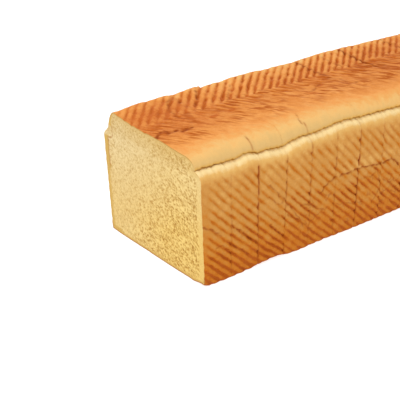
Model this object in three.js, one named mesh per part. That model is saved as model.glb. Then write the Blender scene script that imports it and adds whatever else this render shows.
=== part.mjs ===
// A long tin loaf of white bread, cut into thick slices that still stand together in the shape of the
// whole loaf. The first slice shows its cut face, and the last one is the crusted end.
//
// Millimetres, +Z up. The loaf lies along Y with its open cut face at -Y, the origin is the middle of the
// underside's bounding box.
import * as THREE from 'three';

// ---- Driving dimensions -------------------------------------------------------------------------------
const LOAF_LENGTH = 373.8;
const LOAF_HEIGHT = 110;
const WALL_HALF_WIDTH = 63.3;
const BASE_HALF_WIDTH = 61.8;

// Cuts from the open end on: where each meets the base, and how far it leans towards the open end at the
// loaf's full height. The first is the open cut face itself, and the crusted end starts at the last.
const CUTS = [
  [-1.5, 4.8], [25.6, 2.6], [52.9, 3.4], [79.2, -0.6], [105.2, -0.6], [133.6, 0.9], [158.8, -0.6],
  [186.7, 0.2], [213.5, 0.4], [239, 0], [267.2, -0.3], [293.6, 0], [320.6, 0.3], [347.1, 0],
];
const SLICE_COUNT = CUTS.length;
const CUT_GAP = 0.36;

// The seam is the crack where the top crust has lifted off the side walls, just under the tin's rim.
const SEAM_HEIGHT = 94.8;
const SEAM_DEPTH = 3.4;
const SEAM_OPENING = 1.5;
const LID_HALF_WIDTH = 56.6;

// Stations along the loaf with the seam's height on the near side.
const NEAR_SEAM = [
  [0, 96.2], [18, 96.2], [26, 94.8], [37, 94.7], [44, 96.5], [53, 93.8], [73, 92.4], [91, 95.2], [123, 95.8],
  [153, 97.6], [173, 95.8], [200, 94.8], [216, 93.2], [240, 95.6], [270, 94.4], [300, 96.6], [330, 94.8],
  [374, 95.8],
];

// Roundings of the section, each side of the loaf having its own shoulder.
const BASE_RADIUS = 2.4;
const LIP_DROP = 9;
const LIP_RUN = 7.4;
const SHOULDERS = {
  near: { run: 12.2, drop: 9.2 },
  far: { run: 9.6, drop: 10.2 },
};
const WALL_FULLEST_HEIGHT = 82;
const TOP_DOME = 1.2;
const TOP_FALL = 1.4;

// The far shoulder stands up over the flat top, most towards the open end.
const FAR_RISE = 2.3;
const FAR_RISE_AT_END = 0.7;
const FAR_RISE_FADE_START = 230;

// The open end has settled: its crust stands lower.
const END_SETTLE = 2.2;
const END_SETTLE_REACH = 24;

// Unevenness from slice to slice, and the soft edge that a cut leaves in the crust.
const SLICE_SHIFT = 0.3;
const SLICE_DROP = 0.3;
const SEAM_WANDER = 0.8;
const SEAM_WAVE = 9.2;
const EDGE_SOFTENING = 0.8;
const EDGE_SOFT_DEPTH = 2.6;

// The crusted end wall of the last slice.
const END_CORNER_RADIUS = 9;
const END_TOP_RADIUS = 9;
const END_BULGE = 1.6;

// Facets.
const SPAN_STEPS = 5;
const CORNER_STEPS = 4;
const WALL_STEPS = 5;
const LIP_STEPS = 4;
const SHOULDER_STEPS = 6;
const END_CORNER_STEPS = 4;
const END_WALL_COLUMNS = 2 * SPAN_STEPS;
const SEAM_INDEX = SPAN_STEPS + CORNER_STEPS + 1 + WALL_STEPS + LIP_STEPS;

const CRUST_COLOUR = 0xc98540;
const CRUMB_COLOUR = 0xe8cd8c;

// ---- Unevenness along the loaf ------------------------------------------------------------------------
const smooth = THREE.MathUtils.smoothstep;

/** Small sideways shift of one slice against its neighbours. */
function sliceShift(slice) {
  return SLICE_SHIFT * Math.sin(2.4 * slice + 0.9);
}

/** How far one slice's top stands below the loaf's full height. */
function sliceDrop(slice) {
  return SLICE_DROP * (1 - Math.cos(1.9 * slice + 0.6)) / 2;
}

/** How far the crust at a station along the loaf has sunk because the loaf is open at its end. */
function settleAt(station) {
  return END_SETTLE * Math.exp(-Math.max(station, 0) / END_SETTLE_REACH);
}

/** How far the top stands up at a station on one side. */
function riseAt(station, side) {
  if (side > 0) {
    return 0;
  }
  return FAR_RISE + (FAR_RISE_AT_END - FAR_RISE) * smooth(station, FAR_RISE_FADE_START, LOAF_LENGTH);
}

/** Height of the seam at a station, in the long waves of the separate pieces of dough. */
function seamHeightAt(station, side) {
  if (side < 0) {
    return SEAM_HEIGHT + SEAM_WANDER * Math.sin(station / SEAM_WAVE);
  }
  const place = THREE.MathUtils.clamp(station, 0, LOAF_LENGTH);
  const next = Math.max(1, NEAR_SEAM.findIndex(([end]) => end >= place));
  const [start, low] = NEAR_SEAM[next - 1];
  const [end, high] = NEAR_SEAM[next];
  return THREE.MathUtils.lerp(low, high, (place - start) / (end - start));
}

/** Station of a cut's plane at a height. A half number means the plane midway between two cuts. */
function cutStation(cut, height) {
  const [before, after] = [CUTS[Math.floor(cut)], CUTS[Math.ceil(cut)]];
  const station = (before[0] + after[0]) / 2;
  const lean = (before[1] + after[1]) / 2;
  return station - lean * height / LOAF_HEIGHT;
}

// ---- Section ------------------------------------------------------------------------------------------

/** Half-width of a side wall at a height: narrow at the base, fullest below the rim. */
function wallHalfWidth(height) {
  const rise = Math.sin(Math.min(height / WALL_FULLEST_HEIGHT, 1) * Math.PI / 2);
  return BASE_HALF_WIDTH + (WALL_HALF_WIDTH - BASE_HALF_WIDTH) * rise;
}

/**
 * Half of the loaf's section, from the middle of the base round one side to the middle of the top.
 * side is +1 for the near wall (+X) and -1 for the far one.
 */
function halfSection(side, station, slice) {
  const shoulder = side > 0 ? SHOULDERS.near : SHOULDERS.far;
  const seam = seamHeightAt(station, side);
  const level = LOAF_HEIGHT - sliceDrop(slice) - settleAt(station);
  const top = level - TOP_DOME - (side > 0 ? TOP_FALL : 0) + riseAt(station, side);
  const shoulderBase = Math.max(top - shoulder.drop, seam + SEAM_OPENING);
  const points = [];
  const shift = sliceShift(slice);
  const put = (halfWidth, height) => points.push(new THREE.Vector2(side * halfWidth + shift, height));

  for (let i = 0; i < SPAN_STEPS; i += 1) {
    put((BASE_HALF_WIDTH - BASE_RADIUS) * i / SPAN_STEPS, 0);
  }
  for (let i = 0; i <= CORNER_STEPS; i += 1) {
    const angle = Math.PI / 2 * i / CORNER_STEPS;
    put(BASE_HALF_WIDTH - BASE_RADIUS * (1 - Math.sin(angle)), BASE_RADIUS * (1 - Math.cos(angle)));
  }
  const lipStart = seam - LIP_DROP;
  for (let i = 1; i <= WALL_STEPS; i += 1) {
    const height = BASE_RADIUS + (lipStart - BASE_RADIUS) * i / WALL_STEPS;
    put(wallHalfWidth(height), height);
  }
  const wall = wallHalfWidth(lipStart);
  for (let i = 1; i <= LIP_STEPS; i += 1) {
    const angle = Math.PI / 2 * i / LIP_STEPS;
    put(wall - LIP_RUN * (1 - Math.cos(angle)), lipStart + (LIP_DROP - SEAM_OPENING / 2) * Math.sin(angle));
  }
  put(LID_HALF_WIDTH - SEAM_DEPTH, seam);
  put(LID_HALF_WIDTH, seam + SEAM_OPENING / 2);
  for (let i = 1; i <= SHOULDER_STEPS; i += 1) {
    const angle = Math.PI / 2 * i / SHOULDER_STEPS;
    const halfWidth = LID_HALF_WIDTH - shoulder.run * (1 - Math.cos(angle));
    put(halfWidth, shoulderBase + (top - shoulderBase) * Math.sin(angle));
  }
  const flat = LID_HALF_WIDTH - shoulder.run;
  const middle = level - TOP_FALL / 2;
  for (let i = 1; i <= SPAN_STEPS; i += 1) {
    const inward = i / SPAN_STEPS;
    put(flat * (1 - inward), top + (middle - top) * Math.sin(inward * Math.PI / 2));
  }
  return points;
}

/** The whole section as a ring: up the near side, over the top and down the far side. */
function section(station, slice) {
  const near = halfSection(1, station, slice);
  const far = halfSection(-1, station, slice);
  far.shift();
  far.pop();
  return [...near, ...far.reverse()];
}

/** The ring moved inward along its own normals by a distance. */
function insetRing(ring, distance) {
  return ring.map((point, i) => {
    const before = ring[(i + ring.length - 1) % ring.length];
    const after = ring[(i + 1) % ring.length];
    const along = new THREE.Vector2().subVectors(after, before).normalize();
    const inward = new THREE.Vector2(-along.y, along.x);
    const moved = point.clone().addScaledVector(inward, distance);
    moved.y = Math.max(moved.y, 0);
    return moved;
  });
}

// ---- Solids -------------------------------------------------------------------------------------------

/** Collects vertices and triangles of one closed solid. */
class SolidBuilder {
  constructor() {
    this.positions = [];
    this.triangles = [];
  }

  vertex(x, y, z) {
    this.positions.push(x, y, z);
    return this.positions.length / 3 - 1;
  }

  triangle(a, b, c) {
    this.triangles.push(a, b, c);
  }

  quad(a, b, c, d) {
    this.triangle(a, b, c);
    this.triangle(a, c, d);
  }

  /** Joins two rings of equal length with a band of quads that face outward. */
  band(front, back) {
    front.forEach((_, i) => {
      const next = (i + 1) % front.length;
      this.quad(front[i], back[i], back[next], front[next]);
    });
  }

  geometry() {
    const geometry = new THREE.BufferGeometry();
    geometry.setAttribute('position', new THREE.Float32BufferAttribute(this.positions, 3));
    geometry.setIndex(this.triangles);
    geometry.computeVertexNormals();
    return geometry;
  }
}

/** Adds a ring of a slice that stands `depth` behind a cut's plane (negative: in front of it). */
function addCutRing(builder, slice, cut, depth, inset) {
  const ring = insetRing(section(cutStation(cut, SEAM_HEIGHT) + depth, slice), inset);
  return ring.map((point) => builder.vertex(point.x, cutStation(cut, point.y) + depth, point.y));
}

/** Closes a flat cut face over a ring. */
function closeCut(builder, ring, facesFront) {
  const outline = ring.map((index) => new THREE.Vector2(
    builder.positions[index * 3],
    builder.positions[index * 3 + 2],
  ));
  THREE.ShapeUtils.triangulateShape(outline, []).forEach(([a, b, c]) => {
    if (facesFront) {
      builder.triangle(ring[a], ring[b], ring[c]);
    } else {
      builder.triangle(ring[c], ring[b], ring[a]);
    }
  });
}

/** Rings at a slice's front cut: the softened edge and the full section behind it. */
function addFrontRings(builder, slice) {
  const depth = CUT_GAP / 2;
  return [
    addCutRing(builder, slice, slice, depth, EDGE_SOFTENING),
    addCutRing(builder, slice, slice, depth + EDGE_SOFT_DEPTH, 0),
  ];
}

/** One slice between two cuts. */
function sliceGeometry(slice) {
  const builder = new SolidBuilder();
  const rings = addFrontRings(builder, slice);
  rings.push(addCutRing(builder, slice, slice + 0.5, 0, 0));
  rings.push(addCutRing(builder, slice, slice + 1, -CUT_GAP / 2 - EDGE_SOFT_DEPTH, 0));
  rings.push(addCutRing(builder, slice, slice + 1, -CUT_GAP / 2, EDGE_SOFTENING));
  for (let i = 1; i < rings.length; i += 1) {
    builder.band(rings[i - 1], rings[i]);
  }
  closeCut(builder, rings[0], true);
  closeCut(builder, rings[rings.length - 1], false);
  return builder.geometry();
}

/** A point of the last slice's section, drawn in as the loaf rounds over to its end wall. */
function roundedEndPoint(point, turn) {
  const cornerInset = END_CORNER_RADIUS * (1 - Math.cos(turn));
  const topInset = END_TOP_RADIUS * (1 - Math.cos(turn));
  const baseInset = BASE_RADIUS * (1 - Math.cos(turn));
  const topShare = smooth(point.y, SEAM_HEIGHT, LOAF_HEIGHT - TOP_DOME - TOP_FALL);
  const baseShare = 1 - smooth(point.y, 0, BASE_RADIUS * 2);
  const narrowing = (LID_HALF_WIDTH - cornerInset) / LID_HALF_WIDTH;
  return new THREE.Vector2(point.x * narrowing, point.y - topInset * topShare + baseInset * baseShare);
}

/** How far the end wall stands back from the loaf's full length at a place on it. */
function endWallRecess(x, height) {
  const across = Math.min(Math.abs(x) / LID_HALF_WIDTH, 1);
  const upward = Math.min(Math.abs(height / LOAF_HEIGHT - 0.5) * 2, 1);
  return END_BULGE * Math.max(across, upward) ** 2;
}

/**
 * Closes the last ring with rows of quads that join the near and the far side at each height, so that the
 * seam runs on across the end wall. The lowest row is the ring's own base and the highest its own top.
 */
function addEndWall(builder, ring) {
  const lowest = SPAN_STEPS;
  const highest = ring.length / 2 - SPAN_STEPS;
  const coordinate = (index, axis) => builder.positions[index * 3 + axis];
  const rows = [];
  for (let level = lowest; level <= highest; level += 1) {
    const near = ring[level];
    const far = ring[ring.length - level];
    const groove = level === SEAM_INDEX ? SEAM_DEPTH : 0;
    const row = [near];
    for (let column = 1; column < END_WALL_COLUMNS; column += 1) {
      const share = column / END_WALL_COLUMNS;
      if (level === lowest) {
        row.push(ring[(ring.length + lowest - column) % ring.length]);
      } else if (level === highest) {
        row.push(ring[highest + column]);
      } else {
        const x = THREE.MathUtils.lerp(coordinate(near, 0), coordinate(far, 0), share);
        const z = THREE.MathUtils.lerp(coordinate(near, 2), coordinate(far, 2), share);
        row.push(builder.vertex(x, LOAF_LENGTH - endWallRecess(x, z) - groove, z));
      }
    }
    row.push(far);
    rows.push(row);
  }
  for (let i = 1; i < rows.length; i += 1) {
    for (let column = 1; column <= END_WALL_COLUMNS; column += 1) {
      builder.quad(rows[i - 1][column - 1], rows[i - 1][column], rows[i][column], rows[i][column - 1]);
    }
  }
}

/** The crusted end: flat at its cut, rounded over to a lightly bulging end wall. */
function endGeometry(slice) {
  const builder = new SolidBuilder();
  const ringStart = LOAF_LENGTH - END_CORNER_RADIUS - END_BULGE;
  const full = section(LOAF_LENGTH, slice);
  const rings = addFrontRings(builder, slice);
  rings.push(full.map((point) => builder.vertex(point.x, ringStart, point.y)));
  for (let i = 1; i <= END_CORNER_STEPS; i += 1) {
    const turn = Math.PI / 2 * i / END_CORNER_STEPS;
    rings.push(full.map((point) => {
      const moved = roundedEndPoint(point, turn);
      return builder.vertex(moved.x, ringStart + END_CORNER_RADIUS * Math.sin(turn), moved.y);
    }));
  }
  for (let i = 1; i < rings.length; i += 1) {
    builder.band(rings[i - 1], rings[i]);
  }
  closeCut(builder, rings[0], true);

  addEndWall(builder, rings[rings.length - 1]);
  return builder.geometry();
}

// ---- Loaf ---------------------------------------------------------------------------------------------

/** A slice's number written with two digits, as its node's name carries it. */
function sliceName(slice) {
  return `slice_${String(slice + 1).padStart(2, '0')}`;
}

/** The bread's finish: the face of the first slice shows crumb, the others show crust. */
function breadMaterial(colour) {
  return new THREE.MeshStandardMaterial({ color: colour, roughness: 0.85, metalness: 0 });
}

/** Builds the loaf and stands it with the middle of its underside on the origin. */
function buildLoaf() {
  const loaf = new THREE.Group();
  for (let slice = 0; slice < SLICE_COUNT - 1; slice += 1) {
    const colour = slice === 0 ? CRUMB_COLOUR : CRUST_COLOUR;
    const mesh = new THREE.Mesh(sliceGeometry(slice), breadMaterial(colour));
    mesh.name = sliceName(slice);
    loaf.add(mesh);
  }
  const end = new THREE.Mesh(endGeometry(SLICE_COUNT - 1), breadMaterial(CRUST_COLOUR));
  end.name = 'end_crust';
  loaf.add(end);

  const box = new THREE.Box3().setFromObject(loaf);
  const centre = box.getCenter(new THREE.Vector3());
  loaf.children.forEach((mesh) => mesh.geometry.translate(-centre.x, -centre.y, -box.min.z));
  return loaf;
}

const group = buildLoaf();

export default group;
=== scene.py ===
"""Looks of a long sliced tin loaf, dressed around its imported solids.

Lengths in the classes are millimetres in the loaf's own frame: x across the loaf with the near wall at +X,
y along it from the foot of the open cut face, z up. So are the places given to smooth_step and between, and
the scales given to Noise.at. Meshes are written in metres in the row frame.
"""

import logging
import math
from dataclasses import dataclass, field
from enum import Enum, IntEnum

import bmesh
import bpy
import numpy as np
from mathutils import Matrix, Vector


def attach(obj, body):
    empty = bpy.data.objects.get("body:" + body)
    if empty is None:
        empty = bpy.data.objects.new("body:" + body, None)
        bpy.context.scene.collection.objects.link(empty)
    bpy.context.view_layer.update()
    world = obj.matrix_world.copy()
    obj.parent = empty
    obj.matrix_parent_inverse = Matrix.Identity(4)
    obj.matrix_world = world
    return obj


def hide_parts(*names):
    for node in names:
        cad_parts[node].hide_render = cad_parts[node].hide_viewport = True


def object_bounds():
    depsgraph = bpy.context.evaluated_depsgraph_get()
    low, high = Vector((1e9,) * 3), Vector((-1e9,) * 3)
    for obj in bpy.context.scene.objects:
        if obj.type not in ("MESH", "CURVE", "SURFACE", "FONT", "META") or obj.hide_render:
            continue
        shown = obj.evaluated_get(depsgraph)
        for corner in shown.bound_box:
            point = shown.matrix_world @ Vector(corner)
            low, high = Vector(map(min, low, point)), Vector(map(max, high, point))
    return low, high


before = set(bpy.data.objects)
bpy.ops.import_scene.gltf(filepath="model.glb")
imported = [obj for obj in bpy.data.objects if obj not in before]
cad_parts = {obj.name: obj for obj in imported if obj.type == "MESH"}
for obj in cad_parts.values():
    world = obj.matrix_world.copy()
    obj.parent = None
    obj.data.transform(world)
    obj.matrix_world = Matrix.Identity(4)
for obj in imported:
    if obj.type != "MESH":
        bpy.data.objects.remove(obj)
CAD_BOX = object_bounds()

MM = 0.001
log = logging.getLogger("tin_loaf")


# ---- Small tools ---------------------------------------------------------------------------------


def smooth_step(value: np.ndarray, low: float, high: float) -> np.ndarray:
    """Rises smoothly from 0 at low to 1 at high."""
    share = np.clip((value - low) / (high - low), 0.0, 1.0)
    return share * share * (3.0 - 2.0 * share)


def between(value: np.ndarray, low: float, high: float, soft: float) -> np.ndarray:
    """1 from low to high with soft ends of a given width outside them."""
    return smooth_step(value, low - soft, low) * (1.0 - smooth_step(value, high, high + soft))


class Noise:
    """Smooth gradient noise over space, the same on every run."""

    CORNERS = [(a, b, c) for a in (0, 1) for b in (0, 1) for c in (0, 1)]
    LAYER_SHIFT = 31.7
    GAIN = 1.7

    def __init__(self, seed: int) -> None:
        """Draws the lattice's gradients.

        Args:
            seed: Names the draw.
        """
        rng = np.random.default_rng(seed)
        self.order = rng.permutation(256)
        gradients = rng.normal(size=(256, 3))
        self.gradients = gradients / np.linalg.norm(gradients, axis=1, keepdims=True)

    def at(self, x: np.ndarray, y: np.ndarray, z: np.ndarray, scale: float, layers: int = 1) -> np.ndarray:
        """Noise of about -1 to 1 at places in space.

        Args:
            x: Places across.
            y: Places along.
            z: Heights.
            scale: Size of the largest lumps.
            layers: Number of layers, each of half the size and strength of the one before.

        Returns:
            One value for each place.
        """
        total = np.zeros(np.broadcast(x, y, z).shape)
        for layer in range(layers):
            total += self.layer(x + self.LAYER_SHIFT * layer, y, z, scale * 0.5**layer) * 0.5**layer
        return total

    def layer(self, x: np.ndarray, y: np.ndarray, z: np.ndarray, scale: float) -> np.ndarray:
        """A single layer of the noise.

        Args:
            x: Places across.
            y: Places along.
            z: Heights.
            scale: Size of its lumps.

        Returns:
            One value for each place.
        """
        place = [np.asarray(v, float) / scale for v in np.broadcast_arrays(x, y, z)]
        cell = [np.floor(v).astype(np.int64) for v in place]
        part = [v - c for v, c in zip(place, cell)]
        ease = [p * p * p * (p * (p * 6 - 15) + 10) for p in part]
        total = np.zeros(part[0].shape)
        for corner in self.CORNERS:
            i, j, k = ((c + step) & 255 for c, step in zip(cell, corner))
            pull = self.gradients[self.order[(self.order[(self.order[i] + j) & 255] + k) & 255]]
            reach = sum(pull[..., axis] * (part[axis] - corner[axis]) for axis in range(3))
            for axis in range(3):
                reach = reach * (ease[axis] if corner[axis] else 1.0 - ease[axis])
            total += reach
        return total * self.GAIN


# ---- Form of the loaf ----------------------------------------------------------------------------


class Side(Enum):
    """The two long sides of the loaf, with the sign of x on each."""

    NEAR = 1
    FAR = -1


@dataclass(frozen=True)
class Shoulder:
    """Rounding of the top crust towards one side, by how far it runs in and how far it drops."""

    run: float
    drop: float


@dataclass(frozen=True)
class Cut:
    """Plane between two slices.

    Attributes:
        station: Where it meets the base.
        lean: How far it leans towards the open end at the loaf's full height.
        wall: How far its edges stand open on the near wall, from 0 to 1.
        shoulder: The same on the near shoulder.
        top: The same on top, between the places of span.
        span: Places across between which the cut shows on top.
    """

    station: float
    lean: float
    wall: float
    shoulder: float
    top: float
    span: tuple[float, float] = (-70.0, 8.0)


@dataclass(frozen=True)
class RingSteps:
    """Numbers of steps along each stretch of half the section, from the middle of the base to the top's."""

    base: int
    corner: int
    wall: int
    lip: int
    notch: int
    shoulder: int
    top: int

    @classmethod
    def of_spacing(cls, spacing: float) -> "RingSteps":
        """Steps of about one length.

        Args:
            spacing: Length of a step.

        Returns:
            The steps of every stretch, with an even number round the corner.
        """
        return cls(
            base=round(56 / spacing),
            corner=2 * round(3.6 / spacing),
            wall=round(84 / spacing),
            lip=round(13.0 / spacing),
            notch=2 * round(4 / spacing),
            shoulder=round(17.5 / spacing),
            top=round(45 / spacing),
        )

    @property
    def half(self) -> int:
        """Steps of half the ring."""
        return self.base + self.corner + self.wall + self.lip + self.notch + self.shoulder + self.top

    @property
    def across(self) -> int:
        """Steps of the box's edge across the loaf, which ends in the middle of the base's corners."""
        return 2 * self.base + self.corner

    @property
    def upward(self) -> int:
        """Steps of the box's upright edge."""
        return self.half - self.across

    @property
    def notch_start(self) -> int:
        """The half ring's index at the foot of the seam's notch."""
        return self.base + self.corner + self.wall + self.lip


@dataclass(frozen=True)
class LoafForm:
    """Driving dimensions of the loaf and the section that follows from them.

    Attributes:
        length: Length along the base.
        height: Full height.
        wall_half_width: Half the width where the walls are fullest.
        base_half_width: Half the width at the base.
        base_radius: Rounding between base and walls.
        wall_fullest_height: Height at which the walls are fullest.
        seam_height: Mean height of the far seam.
        seam_depth: How far the seam is drawn in.
        seam_opening: How far it stands open.
        lip_drop: How far below the seam the walls start to lean in.
        lip_run: How far they lean in up to it.
        lid_half_width: Half the width of the top with its shoulders.
        far_seam_sink: How far the far seam dips at the open end.
        far_seam_reach: How far along the loaf it does so.
        far_lip_cut: How much smaller the far lip is there.
        top_dome: How far the middle of the top stands above its sides.
        top_fall: How much lower the near side of the top is than the far one.
        end_settle: How far the top has sunk at the open end.
        end_settle_reach: How far along the loaf it has.
        end_corner_radius: Rounding from the walls to the end wall.
        end_bulge: How far the end wall bulges.
        shoulders: The near and the far shoulder.
        near_seam: Stations with the near seam's height.
        far_swell: Stations with the rise of the top's far edge.
        base_lift: Stations with the rise of the lower edges.
        cuts: The planes in front of each slice, from the open face on.
    """

    length: float = 373.8
    height: float = 110.0
    wall_half_width: float = 63.3
    base_half_width: float = 62.5
    base_radius: float = 1.4
    wall_fullest_height: float = 82.0
    seam_height: float = 94.8
    seam_depth: float = 1.9
    seam_opening: float = 1.7
    lip_drop: float = 9.0
    lip_run: float = 7.4
    lid_half_width: float = 56.6
    far_seam_sink: float = 4.0
    far_seam_reach: float = 20.0
    far_lip_cut: float = 2.6
    top_dome: float = 1.2
    top_fall: float = 1.4
    end_settle: float = 2.2
    end_settle_reach: float = 24.0
    end_corner_radius: float = 9.0
    end_bulge: float = 1.6
    shoulders: tuple[Shoulder, Shoulder] = (Shoulder(run=12.2, drop=9.2), Shoulder(run=9.6, drop=10.2))
    near_seam: tuple[tuple[float, float], ...] = (
        (0, 96.9), (18, 96.5), (24, 95.8), (37, 96.0), (41, 97.6), (47, 97.4), (53, 94.8), (64, 94.9),
        (68, 94.6), (76, 93.0), (80, 93.5), (91, 96.0), (102, 96.8), (112, 96.2), (123, 96.8), (138, 98.7),
        (150, 98.4), (162, 97.0), (174, 96.8), (200, 95.8), (216, 94.2), (240, 96.6), (270, 95.4),
        (300, 97.6), (330, 95.8), (374, 96.4),
    )
    far_swell: tuple[tuple[float, float], ...] = (
        (-5, 3.8), (0, 3.3), (20, 3.8), (28, 3.2), (38, 4.0), (46, 3.8), (51, 2.5), (57, 2.3), (63, 3.4),
        (75, 4.6), (79.5, 4.1), (80.5, 2.2), (94, 3.4), (105, 3.1), (113, 4.0), (130, 3.5), (140, 4.0),
        (154, 2.6), (186, 2.5), (205, 3.2), (218, 4.3), (226, 4.4), (233, 3.4), (256, 3.2), (264, 3.0),
        (280, 2.5), (290, 2.4), (320, 1.8), (374, 0.8),
    )
    base_lift: tuple[tuple[float, float], ...] = (
        (-4, 2.6), (0, 1.8), (4, 0.3), (10, 0.0), (40, 0.0), (46, 0.2), (52, 1.2), (60, 1.9), (70, 2.6),
        (78, 1.8), (84, 0.3), (104, 0.0), (115, 0.2), (124, 0.8), (134, 0.6), (148, 0.0), (190, 0.0),
        (215, 0.6), (250, 0.0), (300, 0.8), (374, 0.4),
    )
    cuts: tuple[Cut, ...] = (
        Cut(-0.7, 5.4, 0.3, 0.3, 0.3),
        Cut(25.6, 2.6, 0.32, 0.0, 0.0),
        Cut(52.9, 3.4, 0.95, 0.9, 0.35, (-52.0, -20.0)),
        Cut(79.2, -0.6, 0.42, 0.0, 0.0),
        Cut(105.2, -0.6, 0.6, 0.8, 0.0),
        Cut(133.6, 0.9, 0.36, 0.0, 0.0),
        Cut(158.8, -0.6, 0.85, 0.4, 0.1),
        Cut(186.7, 0.2, 0.36, 0.0, 0.85, (-60.0, 2.0)),
        Cut(213.5, 0.4, 0.35, 0.1, 0.5, (-40.0, -18.0)),
        Cut(239.0, 0.0, 0.7, 0.6, 0.85),
        Cut(267.2, -0.3, 0.4, 0.1, 0.1),
        Cut(293.6, 0.0, 0.6, 0.6, 0.85),
        Cut(320.6, 0.3, 0.5, 0.2, 0.3),
        Cut(347.1, 0.0, 0.6, 0.5, 0.5),
    )

    def slice_shift(self, number: int) -> float:
        """Small sideways shift of one slice against its neighbours."""
        return 0.1 * math.sin(2.4 * number + 0.9)

    def slice_drop(self, number: int) -> float:
        """How far one slice's top stands below the loaf's full height."""
        return 0.12 * (1 - math.cos(1.9 * number + 0.6)) / 2

    def settle(self, station: np.ndarray) -> np.ndarray:
        """How far the crust has sunk at a station because the loaf is open at its end."""
        return self.end_settle * np.exp(-np.maximum(station, 0) / self.end_settle_reach)

    def seam_at(self, station: np.ndarray, side: Side) -> np.ndarray:
        """Height of the seam under the top crust, which goes up and down with the pieces of dough.

        Args:
            station: Places along the loaf.
            side: The long side it is asked for.

        Returns:
            One height for each station.
        """
        if side is Side.NEAR:
            stations, heights = zip(*self.near_seam)
            height = sum(np.interp(station + shift, stations, heights) for shift in (-2.0, 0, 2.0)) / 3
        else:
            height = self.seam_height + 0.9 * np.sin(station / 9.2 + 2.1) + 0.6 * np.sin(station / 23 + 0.5)
            height = height - self.far_seam_sink * np.exp(-((station / self.far_seam_reach) ** 2))
        ragged = 0.45 * np.sin(station * 0.83) * np.sin(station * 0.31 + 1.0)
        return height + (ragged + 0.12 * np.sin(station * 1.7 + 0.7))

    def lip_at(self, station: np.ndarray, side: Side) -> tuple[np.ndarray, np.ndarray]:
        """How far the rim under the seam runs in and how far it drops, at each station.

        Args:
            station: Places along the loaf.
            side: The long side it is asked for.

        Returns:
            The run and the drop of each station.
        """
        cut = self.far_lip_cut if side is Side.FAR else 0.0
        less = cut * np.exp(-((station / self.far_seam_reach) ** 2))
        return self.lip_run - less, self.lip_drop - less

    def seam_gap(self, station: np.ndarray) -> np.ndarray:
        """How far the seam stands open at a station."""
        return self.seam_opening * (1.0 + 0.4 * np.sin(station * 0.47 + 0.4) * np.sin(station * 0.19 + 2.0))

    def swell_at(self, station: np.ndarray, side: Side) -> np.ndarray:
        """How far the top crust stands up along one side."""
        return np.interp(station, *zip(*self.far_swell)) if side is Side.FAR else np.zeros_like(station)

    def lift_at(self, station: np.ndarray, x: np.ndarray, z: np.ndarray) -> np.ndarray:
        """How far the loaf's lower edges curl up from what it stands on.

        Args:
            station: Places along the loaf.
            x: Places across.
            z: Heights.

        Returns:
            The rise of each place.
        """
        rise = np.interp(np.where(x > 0, station, (station + 97) % self.length), *zip(*self.base_lift))
        return rise * (1 - smooth_step(z, 0, 18)) * smooth_step(np.abs(x), 46, 59)

    def cut_station(self, cut: int, height: np.ndarray) -> np.ndarray:
        """Station of a cut's plane at a height."""
        plane = self.cuts[cut]
        return plane.station - plane.lean * height / self.height

    def wall_half_width_at(self, height: np.ndarray) -> np.ndarray:
        """Half-width of a side wall at a height: narrow at the base, fullest below the rim."""
        rise = np.sin(np.clip(height / self.wall_fullest_height, 0, 1) * math.pi / 2)
        return self.base_half_width + (self.wall_half_width - self.base_half_width) * rise

    def half_ring(self, side: Side, station: np.ndarray, number: int, steps: RingSteps) -> np.ndarray:
        """Half of the section at several stations, from the middle of the base to the middle of the top.

        Args:
            side: The side of the half.
            station: Places along the loaf.
            number: The slice it belongs to.
            steps: Steps of the ring.

        Returns:
            Array of stations by half ring points by (x, z).
        """
        shoulder = self.shoulders[0 if side is Side.NEAR else 1]
        seam, opening = self.seam_at(station, side)[:, None], self.seam_gap(station)[:, None]
        middle = self.height - self.slice_drop(number) - self.settle(station)[:, None] - self.top_fall / 2
        top = middle - self.top_dome - side.value * self.top_fall / 2 + self.swell_at(station, side)[:, None]
        foot = self.base_half_width - self.base_radius
        flat = self.lid_half_width - shoulder.run
        lip_run, lip_drop = (size[:, None] for size in self.lip_at(station, side))
        lip_start = seam - lip_drop
        lip_wall = self.wall_half_width_at(lip_start)
        lip_end = lip_wall - lip_run
        lid_foot = seam + opening / 2
        shoulder_base = np.maximum(top - shoulder.drop, seam + opening)

        def parts(count: int, turn: float = 1.0) -> np.ndarray:
            """Even steps up to 1, or up to a turn."""
            return np.arange(1, count + 1)[None, :] / count * turn

        quarter = math.pi / 2
        corner, lip, notch = parts(steps.corner, quarter), parts(steps.lip, quarter), parts(steps.notch)
        rounding, inward = parts(steps.shoulder, quarter), parts(steps.top)
        height = self.base_radius + (lip_start - self.base_radius) * parts(steps.wall)
        lid_rise = lid_foot + (shoulder_base - lid_foot) * smooth_step(rounding, 0, quarter)
        stretches = (
            (np.zeros((1, 1)), np.zeros((1, 1))),
            (parts(steps.base) * foot, np.zeros((1, steps.base))),
            (foot + self.base_radius * np.sin(corner), self.base_radius * (1 - np.cos(corner))),
            (self.wall_half_width_at(height), height),
            (lip_wall - lip_run * (1 - np.cos(lip)), lip_start + (lip_drop - opening / 2) * np.sin(lip)),
            (lip_end + (self.lid_half_width - lip_end) * notch, seam + opening * (notch - 0.5)),
            (flat + shoulder.run * np.cos(rounding), lid_rise + (top - shoulder_base) * np.sin(rounding)),
            (flat * (1 - inward), top + (middle - top) * np.sin(inward * quarter)),
        )
        rows = len(station)
        x, z = (
            np.concatenate([np.broadcast_to(part[axis], (rows, part[axis].shape[1])) for part in stretches], 1)
            for axis in (0, 1)
        )
        return np.stack([side.value * x + self.slice_shift(number), z], -1)

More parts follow.
